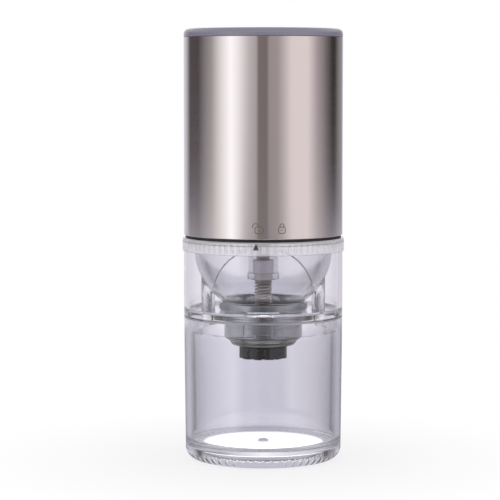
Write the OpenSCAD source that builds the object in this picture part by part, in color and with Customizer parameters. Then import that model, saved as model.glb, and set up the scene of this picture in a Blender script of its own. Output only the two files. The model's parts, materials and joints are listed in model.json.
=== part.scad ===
// Rechargeable hand-held spice grinder. A steel motor housing twists onto a clear bean hopper,
// which carries a conical burr mill and twists onto a clear powder cup.
// Millimetres, +Z up, origin at the centre of the cup's foot. The lock marks face -Y.

/* [Body] */
// Outer radius of the sleeve, the hopper and the cup's rim
body_r = 35; // [34:0.5:38]
// Height of the steel sleeve
sleeve_h = 86.7; // [86:0.1:100]
// Wall of the steel sleeve
sleeve_t = 0.6; // [0.4:0.1:0.8]
// Height of the clear cap above the sleeve
cap_h = 3.5; // [3.2:0.1:5]
// Height of the dark seal that shows between the sleeve and the hopper
neck_seal_h = 1.2; // [0.8:0.1:1.8]

/* [Powder cup] */
// Height of the cup from its foot to its rim
cup_h = 63.7; // [62:0.1:80]
// Wall of the cup
cup_wall = 2; // [1.6:0.1:2.4]
// How much smaller the cup's radius is at its base than at its rim
cup_draft = 0.6; // [0.2:0.1:1]
// Height of the cup's inner floor above the table
cup_floor_z = 7.4; // [6:0.1:9]
// Thickness of the cup's floor
cup_floor_t = 2.2; // [1.8:0.1:3]
// Radius of the fluted rounding round the foot
foot_round = 5.4; // [4.5:0.1:5.8]
// Number of flutes round the foot
foot_flutes = 58; // [48:2:64]

/* [Hopper] */
// Height of the hopper from the cup's rim to the top of its collar
hopper_h = 34.4; // [34:0.1:40]
// Wall of the hopper's shell
hopper_wall = 2; // [1.8:0.1:2.2]
// Thickness of the hopper's floor
hopper_floor_t = 2.2; // [1.8:0.1:2.8]
// Height of the fluted collar
collar_h = 5.7; // [5.5:0.1:7]
// How far the collar stands out past the shell
collar_lip = 0.6; // [0.4:0.1:1]
// Number of flutes round the collar
collar_flutes = 80; // [60:4:88]
// Depth that the hopper's skirt reaches into the cup
skirt_h = 6.8; // [6.6:0.1:8]
// Gap between the shell and the bean bowl
bowl_gap = 2.4; // [2:0.1:2.8]
// Wall of the bean bowl
bowl_wall = 1.6; // [1.4:0.1:2]
// Distance of each screw boss's axis inside the bowl's outer radius
boss_inset = 6.2; // [5.6:0.1:7]
// Radius of each screw boss
boss_r = 3; // [2.6:0.1:3.2]
// Width of the bridge's web outside the arch that the beans pass under
arch_inset = 8.2; // [7.6:0.1:9.2]
// Thickness of the bridge's web
web_t = 1.6; // [1.4:0.1:2.4]

/* [Twist locks] */
// Number of lugs on each twist lock
lug_count = 3; // [2:1:4]
// Turn that locks the cup to the hopper, in degrees
cup_turn = 9; // [6:1:12]
// Width of each cup lug, in degrees
cup_lug_deg = 12; // [10:1:14]
// Height of each cup lug
cup_lug_h = 3.4; // [3:0.1:3.6]
// Turn that locks the motor housing to the hopper, in degrees
neck_turn = 16; // [12:1:18]
// Width of each neck lug, in degrees
neck_lug_deg = 14; // [10:1:16]
// Height of each neck lug
neck_lug_h = 2; // [1.6:0.1:2.2]

/* [Mill] */
// Outer radius of the burr housing
mill_r = 17.2; // [17:0.1:17.6]
// Outer radius of the burr housing's flange
mill_flange_r = 19.6; // [19.2:0.1:20.4]
// Height of the burr housing's flange
mill_flange_h = 3.9; // [3.6:0.1:4.4]
// Height of the burr housing below its flange
mill_drop = 11.4; // [11:0.1:12.4]
// Outer radius of the ring burr
ring_burr_r = 15; // [14.8:0.1:15.2]
// Height of the ring burr
ring_burr_h = 11; // [10.6:0.1:11.4]
// Radius of the cone burr at its foot
cone_r = 11.7; // [11.2:0.1:11.8]
// Height of the parallel finishing teeth on both burrs
finish_h = 4; // [3.4:0.1:4.6]
// Height of the cone burr
cone_h = 14; // [13.5:0.1:15]
// Gap between the burrs, across the finishing teeth
burr_gap = 0.4; // [0.35:0.05:0.6]
// Radius of the grind setting dial
dial_r = 10.6; // [10:0.1:11]
// Height of the grind setting dial
dial_h = 6.2; // [5.8:0.1:7]
// Radius of the mill shaft
shaft_r = 2.5; // [2.3:0.1:2.6]
// Wire of the burr spring
spring_wire = 0.9; // [0.7:0.1:1]

/* [Drive] */
// Width across the flats of the hexagonal drive bit
bit_af = 5.2; // [5:0.1:5.3]
// Width across the flats of the coupler's hexagonal socket
socket_af = 6; // [6:0.1:6.1]
// Outer radius of the motor and its gearbox
motor_r = 14; // [13.8:0.1:14.2]
// Length of the motor's can
motor_h = 38; // [34:0.5:40]
// Gear module
gear_module = 0.4; // [0.36:0.01:0.41]
// Teeth of the sun pinion
sun_teeth = 18; // [18:3:24]
// Face width of the gears
gear_h = 5; // [4:0.1:5.5]
// Radius of each battery cell
cell_r = 7; // [6.6:0.1:7.1]
// Length of each battery cell
cell_h = 50; // [46:0.5:52]

/* [Controls] */
// Radius of the power button
button_r = 7.6; // [7:0.1:9]
// Travel of the power button
button_travel = 1; // [0.6:0.1:1.2]
// Width of the charging port's window
port_w = 13; // [12.4:0.1:14]
// Height of the charging port's window
port_h = 7.4; // [7:0.1:8]
// Thickness of the circuit board
board_t = 1.6; // [1.2:0.1:1.6]

/* [Clearances] */
// Radial clearance between pieces that are fixed together
fit = 0.1; // [0.05:0.01:0.12]
// Radial clearance between pieces that turn or slide
run = 0.3; // [0.25:0.01:0.35]

/* [Hidden] */
$fn = 96;

eps = 0.01;
over = 1; // how far a cutter passes the face that it cuts
root = 0.4; // how deep a lug or a post is sunk in the wall that it stands on
edge_break = 0.4;
axial_gap = 0.3; // between pieces that slide over each other along the axis
turn_gap = 0.05; // radial gap of a shaft in its bush

CLEAR = [0.9, 0.92, 0.96, 0.35];
STEEL = [0.75, 0.72, 0.7];
DARK = [0.13, 0.13, 0.14];
GREY = [0.5, 0.52, 0.55];
NYLON = [0.9, 0.88, 0.85];
BRASS = [0.8, 0.65, 0.35];
CERAMIC = [0.93, 0.92, 0.88];
WRAP = [0.2, 0.35, 0.6];
BOARD = [0.1, 0.35, 0.2];

// Cup
cup_base_r = body_r - cup_draft;
cup_in_r = body_r - cup_wall;
foot_r = cup_base_r - foot_round;
foot_ring_w = 2;
foot_flute_r = 1.3;
foot_flute_depth = 0.65;
foot_flute_length = 12;
foot_flute_slant = 45;
floor_round = 3;
gate_mark_r = 2.4;
gate_mark_depth = 0.5;
cup_seal_w = 0.9;
cup_seal_h = 1;

// Hopper
skirt_r = cup_in_r - run;
skirt_wall = 2.3;
skirt_z = cup_h - skirt_h;
skirt_bevel = 0.5;
floor_bevel = 1.2;
hopper_in_r = body_r - hopper_wall;
bowl_r = hopper_in_r - bowl_gap;
boss_x = bowl_r - boss_inset;
arch_r = bowl_r - arch_inset;
hopper_floor_z = cup_h + hopper_floor_t;
collar_top_z = cup_h + hopper_h;
collar_z = collar_top_z - collar_h;
spigot_wall = 1.1;
shell_top_r = hopper_in_r + spigot_wall;
shell_top_z = collar_z + 2.2;
bowl_flange_h = 1.6;
bowl_flange_z = shell_top_z + bowl_flange_h;
collar_flute_r = 0.9;
collar_flute_depth = 0.35;
collar_flute_z = collar_z + 0.8;
collar_flute_h = collar_h - 2;
collar_bevel = 0.5;

// Mill levels
mill_top_z = hopper_floor_z + mill_flange_h;
mill_foot_z = hopper_floor_z - mill_drop;
mouth_r = ring_burr_r + 0.3;
rebate_h = 2.5;
rebate_w = 1;
retainer_h = 3.9;
retainer_z = mill_foot_z - retainer_h;
ring_burr_drop = 1;
ring_burr_z = mill_foot_z - ring_burr_drop;
bowl_in_r = bowl_r - bowl_wall;
bowl_mouth_r = 18.06;
boss_top_drop = 12; // how far below the bowl's centre a boss runs out in the bowl's wall
hopper_screw_r = 1.2;
hopper_screw_length = 9.5;
screw_clear = 0.25;
screw_tip_gap = 0.7;
hopper_pilot_h = hopper_screw_length - hopper_floor_t + screw_tip_gap;
tab_out = 1.9; // the bridge's two end tabs, from the bowl's inner wall outwards
tab_in = 0.7;
tab_notch_out = 3;
bowl_z = mill_top_z + sqrt(bowl_r * bowl_r - bowl_mouth_r * bowl_mouth_r);
arch_z = mill_top_z + 0.9;

// Cup lugs and the L-shaped channels that they run in
cup_lug_proud = 1.2;
cup_lug_z = skirt_z + 1.4;
channel_depth = cup_lug_proud + run - fit;
channel_slack = 1;
entry_inset = 0.1; // the slot that lets a lug in is this much deeper and narrower than its channel

// Neck lugs on the collar's spigot and the ledges under them in the motor base
neck_r = bowl_r + 0.6;
neck_wall = 1.8;
neck_h = 6;
neck_lug_proud = 1.3;
neck_lug_z = collar_top_z + neck_h - neck_lug_h - 0.4;
base_z = collar_top_z + neck_seal_h;
base_r = body_r - sleeve_t - fit;
base_wall = 1.4;
base_socket_r = neck_r + neck_lug_proud + run;
ledge_h = neck_lug_z - base_z - run;
stop_deg = 6;
stop_slack = 1;
lug_gap_deg = neck_lug_deg + 3;
bulkhead_z = collar_top_z + neck_h + 1.4;
bulkhead_t = 2.4;
deck_z = bulkhead_z + bulkhead_t;
base_rim_h = 8;
cell_cup_wall = 1;
cell_cup_h = 4;

// Drive levels
nose_r = 6.8;
nose_z = collar_top_z - 1.9;
tube_r = nose_r - 0.3;
tube_wall = 1.6;
tube_z = mill_top_z + 9.8;
tube_foot_h = 2.7;
tube_lip = 0.5;
shaft_bush_wall = 1.6;
bush_z = tube_z + tube_foot_h;
coupler_r = tube_r - tube_wall - run;
coupler_h = 5.7;
coupler_top_z = bush_z + coupler_h;
socket_depth = 4;
bit_z = coupler_top_z - socket_depth + 0.5;
thread_r = shaft_r - 0.5;
spigot_r = shaft_r - 0.4;
shaft_tail = 0.8;
dial_top_z = retainer_z + 0.2;
dial_z = dial_top_z - dial_h;
washer_t = 0.4;
washer_r = 7;
nut_r = 4;
nut_h = 3.6;
nut_cover = 1;
cone_z = ring_burr_z;
cone_slope = 0.42;
throat_r = cone_r - cone_slope * finish_h;
cone_top_r = 5.2;
ring_throat_r = throat_r + burr_gap;
finish_teeth = 36;
finish_tooth = 0.5;
finish_twist = 6;
feed_teeth = 9;
feed_tooth = 2.4;
feed_twist = -75;
hub_r = 4.6;
hub_h = 2;
spring_r = 3.5;
spring_z = cone_z + cone_h;
spring_turns = 9;

// Gearbox
planets = 3;
planet_teeth = 18;
addendum = 0.9 * gear_module;
dedendum = 1.2 * gear_module;
ring_dedendum = 1.3 * gear_module;
ring_teeth = sun_teeth + 2 * planet_teeth;
planet_orbit = gear_module * (sun_teeth + planet_teeth) / 2;
pressure_angle = 20;
backlash = 0.06;
gearbox_floor_t = 2;
gearbox_cover_t = 2;
carrier_t = 2.5;
pin_r = 1.25;
pin_wall = 1.35;
carrier_r = planet_orbit + pin_r + pin_wall;
carrier_z = deck_z + gearbox_floor_t + run;
gear_z = carrier_z + carrier_t + fit;
gearbox_top_z = gear_z + gear_h + 2 * run;
motor_z = gearbox_top_z + gearbox_cover_t;
motor_shaft_r = 1.15;
shaft_gap = 0.1;
output_r = 3;
bush_r = 5;
bush_h = 6;
bush_sink = 0.2;
output_foot_z = nose_z + 0.6;
case_bolts = 3;
case_bolt_x = motor_r - 3.6;
case_bolt_r = 0.9;
case_bolt_start = 90;
front_screw_x = 8; // the two screws that hold the motor to the gearbox's cover
front_screw_r = 1;
front_screw_length = 4.2;
can_wall = 1;
can_gap = 0.2;
boss_stub_r = 4;

// Motor housing
cell_inset = 12.4;
cell_x = body_r - cell_inset;
cell_z = deck_z + 0.6;
clamp_hold = 3;
clamp_z = cell_z + cell_h - clamp_hold;
clamp_t = 4;
post_y = body_r - 8;
post_r = 3;
post_screw_r = 1.1;
post_screw_length = 10;
sleeve_z = base_z;
cap_z = sleeve_z + sleeve_h;
cap_top_z = cap_z + cap_h;
lid_t = 2;
lid_rim_h = 5;
board_z = cap_z - 12;
board_top_z = board_z + board_t;
board_r = body_r - 5;
board_posts = 3;
board_post_start = 30;
board_post_x = body_r - 9;
board_post_r = 2.6;
board_screw_r = 1;
board_screw_length = 7;
panel_t = 1.6;
panel_r = body_r - 2.6;
cap_round = 2.4;
cap_flutes = 90;
cap_flute_r = 0.7;
light_ring_w = 1.4;
lens_hole_r = button_r + run + light_ring_w + fit;
button_sink = 0.2;
button_top_z = cap_top_z - button_sink;
button_cap_h = 2.2;
stem_r = 2;
switch_h = 3.2;
socket_w = 8.9;
socket_h = 3.2;
port_z = board_top_z + socket_h / 2;
port_corner = 1.2;
bezel_wall = 0.8;
bezel_depth = 4.6;
recess_depth = 2.3;
cover_inset = 0.3;
cover_t = 2.1;
cover_proud = 0.1;
hinge_r = (cover_t + cover_proud) / 2 - 0.2;
hinge_y = body_r + cover_proud - hinge_r;
hinge_z = port_z - port_h / 2 + bezel_wall + cover_inset + hinge_r;

// ---------------------------------------------------------------- helpers

module ring(r_in, r_out, z0, z1) {
    rotate_extrude() translate([r_in, z0]) square([r_out - r_in, z1 - z0]);
}

// A block of ring, centred on +X
module ring_sector(r_in, r_out, z0, h, deg) {
    rotate(-deg / 2) rotate_extrude(angle = deg) translate([r_in, z0]) square([r_out - r_in, h]);
}

module around(n, start = 0) {
    for (i = [0:n - 1]) rotate(start + i * 360 / n) children();
}

module rounded_bar(w, h, depth, corner) {
    linear_extrude(depth) {
        square([w - 2 * corner, h], center = true);
        square([w, h - 2 * corner], center = true);
        for (x = [-1, 1], y = [-1, 1])
            translate([x * (w / 2 - corner), y * (h / 2 - corner)]) circle(corner, $fn = 32);
    }
}

module hexagon(across_flats, h) {
    cylinder(r = across_flats / sqrt(3), h = h, $fn = 6);
}

// A screw that points up: its head hangs below z = 0
module screw(shank_r, length, head_r, head_h) {
    difference() {
        union() {
            translate([0, 0, -head_h]) cylinder(r = head_r, h = head_h);
            cylinder(r = shank_r, h = length - shank_r);
            translate([0, 0, length - shank_r]) cylinder(r1 = shank_r, r2 = shank_r / 6, h = shank_r);
        }
        for (a = [0, 90]) rotate(a)
            translate([-head_r * 0.6, -head_r / 8, -head_h - eps])
                cube([head_r * 1.2, head_r / 4, head_h * 0.55]);
    }
}

// Half the angle that an involute tooth spans at radius r, in degrees
function involute(a) = tan(a) * 180 / PI - a;
function tooth_half(r, n, m, slack) =
    let (base = m * n / 2 * cos(pressure_angle), safe = max(r, base))
    90 / n - slack + involute(pressure_angle) - involute(acos(base / safe));

// The outline of a gear whose teeth reach from r_in to r_out
function gear_outline(n, m, r_in, r_out, slack, steps = 4) = [
    for (i = [0:n - 1], side = [-1, 1], k = [0:steps])
        let (
            s = side < 0 ? k : steps - k,
            r = r_in + (r_out - r_in) * s / steps,
            a = i * 360 / n + side * tooth_half(r, n, m, slack)
        )
        [r * cos(a), r * sin(a)]
];

module spur_gear(n, bore_r) {
    pitch = gear_module * n / 2;
    difference() {
        linear_extrude(gear_h)
            polygon(gear_outline(n, gear_module, pitch - dedendum, pitch + addendum,
                backlash / 2 / pitch * 180 / PI));
        translate([0, 0, -over]) cylinder(r = bore_r, h = gear_h + 2 * over);
    }
}

// A coil spring with closed ends, standing on z = 0
function coil_rise(t, turns, h, d) =
    t < 1 ? t * d : t > turns - 1 ? h - (turns - t) * d : d + (t - 1) * (h - 2 * d) / (turns - 2);

module coil_spring(r, wire, h, turns, steps = 18, sides = 8) {
    count = turns * steps;
    points = [
        for (i = [0:count], k = [0:sides - 1])
            let (
                a = i * 360 / steps,
                z = wire / 2 + coil_rise(i / steps, turns, h - wire, wire),
                out = r + wire / 2 * cos(k * 360 / sides)
            )
            [out * cos(a), out * sin(a), z + wire / 2 * sin(k * 360 / sides)]
    ];
    faces = concat(
        [[for (k = [0:sides - 1]) k]],
        [
            for (i = [0:count - 1], k = [0:sides - 1])
                let (n = (k + 1) % sides)
                [i * sides + n, i * sides + k, (i + 1) * sides + k, (i + 1) * sides + n]
        ],
        [[for (k = [sides - 1:-1:0]) count * sides + k]]
    );
    polyhedron(points, faces);
}

// ---------------------------------------------------------------- powder cup

module cup_profile() {
    difference() {
        union() {
            polygon([
                [foot_r - foot_ring_w, 0], [foot_r, 0], [foot_r, foot_round], [cup_base_r, foot_round],
                [body_r, cup_h - edge_break], [body_r - edge_break, cup_h], [cup_in_r, cup_h],
                [cup_in_r - cup_draft, cup_floor_z + floor_round],
                [cup_in_r - cup_draft - floor_round, cup_floor_z], [0, cup_floor_z],
                [0, cup_floor_z - cup_floor_t], [foot_r - foot_ring_w, cup_floor_z - cup_floor_t]
            ]);
            intersection() {
                translate([foot_r, foot_round]) circle(foot_round);
                translate([foot_r - root, 0]) square([foot_round + root, foot_round]);
            }
        }
        translate([cup_in_r - cup_draft - floor_round, cup_floor_z + floor_round]) circle(floor_round);
        translate([cup_in_r - eps, cup_h - cup_seal_h]) square([cup_seal_w + eps, cup_seal_h + over]);
    }
}

module powder_cup() {
    flute_out = foot_round + foot_flute_r - foot_flute_depth;
    color(CLEAR) difference() {
        union() {
            rotate_extrude() cup_profile();
            around(lug_count, -90)
                ring_sector(cup_in_r - cup_lug_proud, cup_in_r + root, cup_lug_z, cup_lug_h, cup_lug_deg);
        }
        around(foot_flutes)
            translate([foot_r, 0, foot_round]) rotate([0, foot_flute_slant, 0])
                translate([flute_out, 0, -foot_flute_length / 2])
                    cylinder(r = foot_flute_r, h = foot_flute_length, $fn = 24);
        translate([0, 0, cup_floor_z - cup_floor_t - eps]) cylinder(r = gate_mark_r, h = gate_mark_depth);
    }
}

module cup_seal() {
    color(NYLON) ring(cup_in_r + fit / 2, cup_in_r + cup_seal_w - fit / 2, cup_h - cup_seal_h, cup_h);
}

// ---------------------------------------------------------------- hopper

module lug_channel() {
    depth_r = skirt_r - channel_depth;
    run_deg = cup_lug_deg + channel_slack;
    ring_sector(depth_r - entry_inset, skirt_r + over + entry_inset, skirt_z - over,
        cup_lug_z - skirt_z + over + cup_lug_h / 2, run_deg - 4 * entry_inset);
    rotate(-cup_turn / 2)
        ring_sector(depth_r, skirt_r + over, cup_lug_z - axial_gap, cup_lug_h + 2 * axial_gap,
            run_deg + cup_turn);
}

module hopper_shell() {
    color(CLEAR) difference() {
        rotate_extrude() polygon([
            [mill_r + fit, cup_h], [skirt_r - skirt_wall, cup_h], [skirt_r - skirt_wall, skirt_z],
            [skirt_r - skirt_bevel, skirt_z], [skirt_r, skirt_z + skirt_bevel], [skirt_r, cup_h],
            [body_r, cup_h], [body_r, collar_z], [shell_top_r, collar_z], [shell_top_r, shell_top_z],
            [hopper_in_r, shell_top_z], [hopper_in_r, hopper_floor_z + floor_bevel],
            [hopper_in_r - floor_bevel, hopper_floor_z], [mill_r + fit, hopper_floor_z]
        ]);
        around(lug_count, -90) lug_channel();
        for (x = [-boss_x, boss_x])
            translate([x, 0, cup_h - over])
                cylinder(r = hopper_screw_r + screw_clear, h = hopper_floor_t + 2 * over);
    }
}

module collar() {
    color(CLEAR) difference() {
        union() {
            rotate_extrude() polygon([
                [shell_top_r + fit, collar_z], [body_r + collar_lip, collar_z],
                [body_r + collar_lip, collar_top_z - collar_bevel],
                [body_r + collar_lip - collar_bevel, collar_top_z], [neck_r, collar_top_z],
                [neck_r, collar_top_z + neck_h], [neck_r - neck_wall, collar_top_z + neck_h],
                [neck_r - neck_wall, bowl_flange_z], [shell_top_r + fit, bowl_flange_z]
            ]);
            around(lug_count, -90)
                ring_sector(neck_r - root, neck_r + neck_lug_proud, neck_lug_z, neck_lug_h, neck_lug_deg);
        }
        around(collar_flutes)
            translate([body_r + collar_lip + collar_flute_r - collar_flute_depth, 0, collar_flute_z])
                cylinder(r = collar_flute_r, h = collar_flute_h, $fn = 24);
    }
}

module bowl_hollow() {
    translate([0, 0, bowl_z]) sphere(bowl_in_r);
    translate([0, 0, bowl_z]) cylinder(r = bowl_in_r, h = bowl_r);
}

// Both end tabs of the bridge, or the notches in the bowl's flange that they sit in
module bridge_tabs(from_r, to_r, w, grow) {
    for (s = [-1, 1])
        translate([s * (from_r + to_r) / 2, 0, shell_top_z + bowl_flange_h / 2])
            cube([to_r - from_r, w, bowl_flange_h + 2 * grow], center = true);
}

module bean_bowl() {
    color(CLEAR) difference() {
        union() {
            intersection() {
                union() {
                    translate([0, 0, bowl_z]) sphere(bowl_r);
                    translate([0, 0, bowl_z]) cylinder(r = bowl_r, h = bowl_flange_z - bowl_z);
                }
                translate([0, 0, mill_top_z]) cylinder(r = bowl_r, h = bowl_flange_z - mill_top_z);
            }
            ring(bowl_in_r, shell_top_r, shell_top_z, bowl_flange_z);
            for (x = [-boss_x, boss_x])
                translate([x, 0, hopper_floor_z])
                    cylinder(r = boss_r, h = bowl_z - hopper_floor_z - boss_top_drop);
        }
        bowl_hollow();
        for (x = [-boss_x, boss_x])
            translate([x, 0, hopper_floor_z - over])
                cylinder(r = hopper_screw_r + turn_gap, h = hopper_pilot_h + over);
        bridge_tabs(bowl_in_r - over, bowl_in_r + tab_notch_out, web_t + 2 * fit, eps);
    }
}

module bridge() {
    reach = bowl_in_r - fit;
    color(CLEAR) difference() {
        union() {
            intersection() {
                union() {
                    translate([0, 0, bowl_z]) sphere(reach);
                    translate([0, 0, bowl_z]) cylinder(r = reach, h = bowl_r);
                }
                translate([-reach, -web_t / 2, mill_top_z])
                    cube([2 * reach, web_t, bowl_flange_z - mill_top_z]);
            }
            bridge_tabs(bowl_in_r - tab_in, bowl_in_r + tab_out, web_t, 0);
            translate([0, 0, tube_z]) cylinder(r = tube_r, h = nose_z - axial_gap - tube_z);
            translate([0, 0, tube_z]) cylinder(r = tube_r + tube_lip, h = tube_foot_h);
        }
        difference() {
            translate([0, 0, arch_z]) rotate([90, 0, 0])
                cylinder(r = arch_r, h = 2 * (tube_r + tube_lip + over), center = true);
            translate([0, 0, tube_z]) cylinder(r = tube_r, h = nose_z - tube_z);
            translate([0, 0, tube_z]) cylinder(r = tube_r + tube_lip, h = tube_foot_h);
        }
        translate([0, 0, bush_z]) cylinder(r = tube_r - tube_wall, h = nose_z);
        translate([0, 0, tube_z - over]) cylinder(r = shaft_r + shaft_bush_wall, h = nose_z);
    }
}

module bridge_bush() {
    color(NYLON) ring(shaft_r + turn_gap, shaft_r + shaft_bush_wall - fit / 2, tube_z, bush_z);
}

module hopper_screws() {
    color(STEEL) for (x = [-boss_x, boss_x])
        translate([x, 0, cup_h])
            screw(hopper_screw_r, hopper_screw_length, 2 * hopper_screw_r, 1.25 * hopper_screw_r);
}

// ---------------------------------------------------------------- mill

module burr_housing() {
    groove = 0.4;
    flange_bevel = 0.8;
    rim_bevel = 0.5;
    burr_hold = 0.6;
    color(GREY) difference() {
        rotate_extrude() polygon([
            [ring_burr_r + fit, mill_foot_z], [mill_r, mill_foot_z], [mill_r, cup_h - 4 * groove],
            [mill_r - groove, cup_h - 3 * groove], [mill_r - groove, cup_h - 2 * groove],
            [mill_r, cup_h - groove], [mill_r, hopper_floor_z],
            [mill_flange_r - flange_bevel, hopper_floor_z],
            [mill_flange_r, hopper_floor_z + flange_bevel], [mill_flange_r, mill_top_z - rim_bevel],
            [mill_flange_r - rim_bevel, mill_top_z], [mouth_r, mill_top_z],
            [ring_burr_r - burr_hold, mill_top_z - 2 * flange_bevel],
            [ring_burr_r - burr_hold, ring_burr_z + ring_burr_h],
            [ring_burr_r + fit, ring_burr_z + ring_burr_h]
        ]);
        ring(ring_burr_r, mill_r - rebate_w, mill_foot_z - over, mill_foot_z + rebate_h);
    }
}

module burr_retainer() {
    mouth = cone_r + 1.1;
    lip = 0.8;
    plug_r = mill_r - rebate_w - fit;
    plug_z = mill_foot_z + rebate_h - fit;
    color(DARK) rotate_extrude() polygon([
        [mouth, retainer_z], [mouth + lip, retainer_z], [mouth + 2 * lip, retainer_z + lip],
        [mouth + 2.4 * lip, retainer_z + 2 * lip], [mill_r - edge_break, mill_foot_z - 2 * edge_break],
        [mill_r, mill_foot_z - edge_break], [mill_r, mill_foot_z], [plug_r, mill_foot_z], [plug_r, plug_z],
        [ring_burr_r + fit, plug_z], [ring_burr_r + fit, ring_burr_z], [mouth, ring_burr_z]
    ]);
}

// A toothed ring of n cutting edges: each tooth climbs slowly and drops at its edge
function edge_outline(n, r_tip, depth) = [
    for (i = [0:n - 1], k = [0, 0.45, 0.86])
        let (a = (i + k) * 360 / n, r = k == 0 ? r_tip : k < 0.5 ? r_tip - depth * 0.45 : r_tip - depth)
        [r * cos(a), r * sin(a)]
];

module toothed_cone(n, r0, r1, h, depth, twist, slices) {
    linear_extrude(h, twist = twist, scale = r1 / r0, slices = slices) polygon(edge_outline(n, r0, depth));
}

module cone_burr() {
    color(CERAMIC) difference() {
        union() {
            translate([0, 0, cone_z])
                toothed_cone(finish_teeth, cone_r, throat_r, finish_h, finish_tooth, finish_twist, 2);
            translate([0, 0, cone_z + finish_h - 2 * eps])
                toothed_cone(feed_teeth, throat_r, cone_top_r, cone_h - finish_h - hub_h, feed_tooth,
                    feed_twist, 12);
            translate([0, 0, cone_z + finish_h]) cylinder(r = hub_r, h = cone_h - finish_h);
        }
        translate([0, 0, cone_z - over]) hexagon(2 * shaft_r + 2 * fit, cone_h + 2 * over);
    }
}

module ring_burr() {
    mouth_h = ring_burr_h - finish_h;
    mouth_rim = 0.7;
    mouth_twist = 20;
    foot_edge = cone_r + burr_gap + finish_tooth;
    throat_edge = ring_throat_r + finish_tooth;
    color(CERAMIC) difference() {
        translate([0, 0, ring_burr_z]) cylinder(r = ring_burr_r, h = ring_burr_h);
        translate([0, 0, ring_burr_z - eps])
            toothed_cone(finish_teeth, foot_edge, throat_edge, finish_h + 2 * eps, finish_tooth,
                finish_twist, 2);
        translate([0, 0, ring_burr_z + finish_h])
            toothed_cone(2 * feed_teeth, throat_edge, ring_burr_r - mouth_rim, mouth_h + 2 * eps,
                finish_tooth, mouth_twist, 6);
    }
}

module detent_washer() {
    detents = 8;
    detent_r = 0.8;
    color(STEEL) difference() {
        ring(shaft_r + 1, washer_r, cone_z - washer_t, cone_z);
        around(detents)
            translate([washer_r - 2 * detent_r, 0, cone_z - over])
                cylinder(r = detent_r, h = 2 * over, $fn = 24);
    }
}

module mill_shaft() {
    color(STEEL) {
        translate([0, 0, dial_z - shaft_tail]) cylinder(r = thread_r, h = cone_z - dial_z + shaft_tail);
        translate([0, 0, cone_z]) hexagon(2 * shaft_r - 2 * fit, cone_h + root);
        translate([0, 0, cone_z + cone_h]) cylinder(r = shaft_r, h = bush_z - cone_z - cone_h);
        translate([0, 0, bush_z]) cylinder(r = spigot_r, h = coupler_h - socket_depth);
    }
}

module drive_coupler() {
    color(NYLON) difference() {
        translate([0, 0, bush_z]) cylinder(r = coupler_r, h = coupler_h);
        translate([0, 0, coupler_top_z - socket_depth]) hexagon(socket_af, socket_depth + over);
        translate([0, 0, bush_z - over]) cylinder(r = spigot_r + fit / 2, h = coupler_h);
    }
}

module burr_spring() {
    color(STEEL) translate([0, 0, spring_z])
        coil_spring(spring_r, spring_wire, tube_z - spring_z, spring_turns);
}

module grind_dial() {
    grips = 9;
    grip_r = 3;
    grip_depth = 0.8;
    teeth = 12;
    tooth_w = 1.4;
    bevel = 1.2;
    well_r = 6.2;
    color(DARK) difference() {
        union() {
            translate([0, 0, dial_z]) cylinder(r = dial_r, h = dial_h - bevel);
            translate([0, 0, dial_top_z - bevel]) cylinder(r1 = dial_r, r2 = dial_r - bevel, h = bevel);
            translate([0, 0, dial_top_z]) cylinder(r = washer_r + root, h = cone_z - washer_t - dial_top_z);
        }
        around(grips) translate([dial_r + grip_r - grip_depth, 0, dial_z - over])
            cylinder(r = grip_r, h = dial_h - bevel / 2, $fn = 32);
        around(teeth) translate([well_r + root / 2, -tooth_w / 2, dial_z - over])
            cube([dial_r, tooth_w, over + 1.1]);
        translate([0, 0, dial_z - over]) cylinder(r = well_r, h = over + tooth_w);
        translate([0, 0, dial_z - over]) cylinder(r = nut_r + fit, h = over + dial_h - nut_cover);
        translate([0, 0, dial_z]) cylinder(r = shaft_r + 2 * run, h = dial_h * 2);
    }
}

module dial_nut() {
    color(BRASS) difference() {
        translate([0, 0, dial_top_z - nut_cover - nut_h]) cylinder(r = nut_r, h = nut_h);
        translate([0, 0, dial_z]) cylinder(r = thread_r + turn_gap, h = dial_h);
    }
}

// ---------------------------------------------------------------- motor housing

module neck_seal() {
    color(DARK) ring(base_socket_r + fit, base_r, collar_top_z, base_z);
}

module motor_base() {
    stop_foot_z = base_z + ledge_h / 2;
    rim_z = deck_z + base_rim_h;
    color(DARK) difference() {
        union() {
            rotate_extrude() polygon([
                [base_socket_r, base_z], [base_r, base_z], [base_r, rim_z], [base_r - base_wall, rim_z],
                [base_r - base_wall, deck_z], [nose_r + fit, deck_z], [nose_r + fit, bulkhead_z],
                [base_socket_r, bulkhead_z]
            ]);
            around(lug_count, 180 / lug_count - 90)
                ring_sector(neck_r + run, base_socket_r + root, base_z, ledge_h,
                    360 / lug_count - lug_gap_deg);
            for (a = [neck_turn + neck_lug_deg / 2 + stop_slack, -neck_lug_deg / 2 - stop_slack - stop_deg])
                around(lug_count, a + stop_deg / 2 - 90)
                    ring_sector(neck_r + run + fit, base_socket_r + root - fit, stop_foot_z,
                        bulkhead_z - stop_foot_z + root / 2, stop_deg);
            for (s = [-1, 1])
                translate([s * cell_x, 0, 0])
                    ring(cell_r + fit, cell_r + fit + cell_cup_wall, deck_z, deck_z + cell_cup_h);
        }
        for (s = [-1, 1])
            translate([0, s * post_y, bulkhead_z - over])
                cylinder(r = post_screw_r + screw_clear, h = bulkhead_t + 2 * over);
        around(case_bolts, case_bolt_start)
            translate([case_bolt_x, 0, bulkhead_z - over])
                cylinder(r = case_bolt_r + screw_clear, h = bulkhead_t + 2 * over);
    }
}

module port_window(grow, depth) {
    translate([0, body_r - depth, port_z]) rotate([-90, 0, 0])
        rounded_bar(port_w + 2 * grow, port_h + 2 * grow, depth + 2 * over, port_corner);
}

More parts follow.
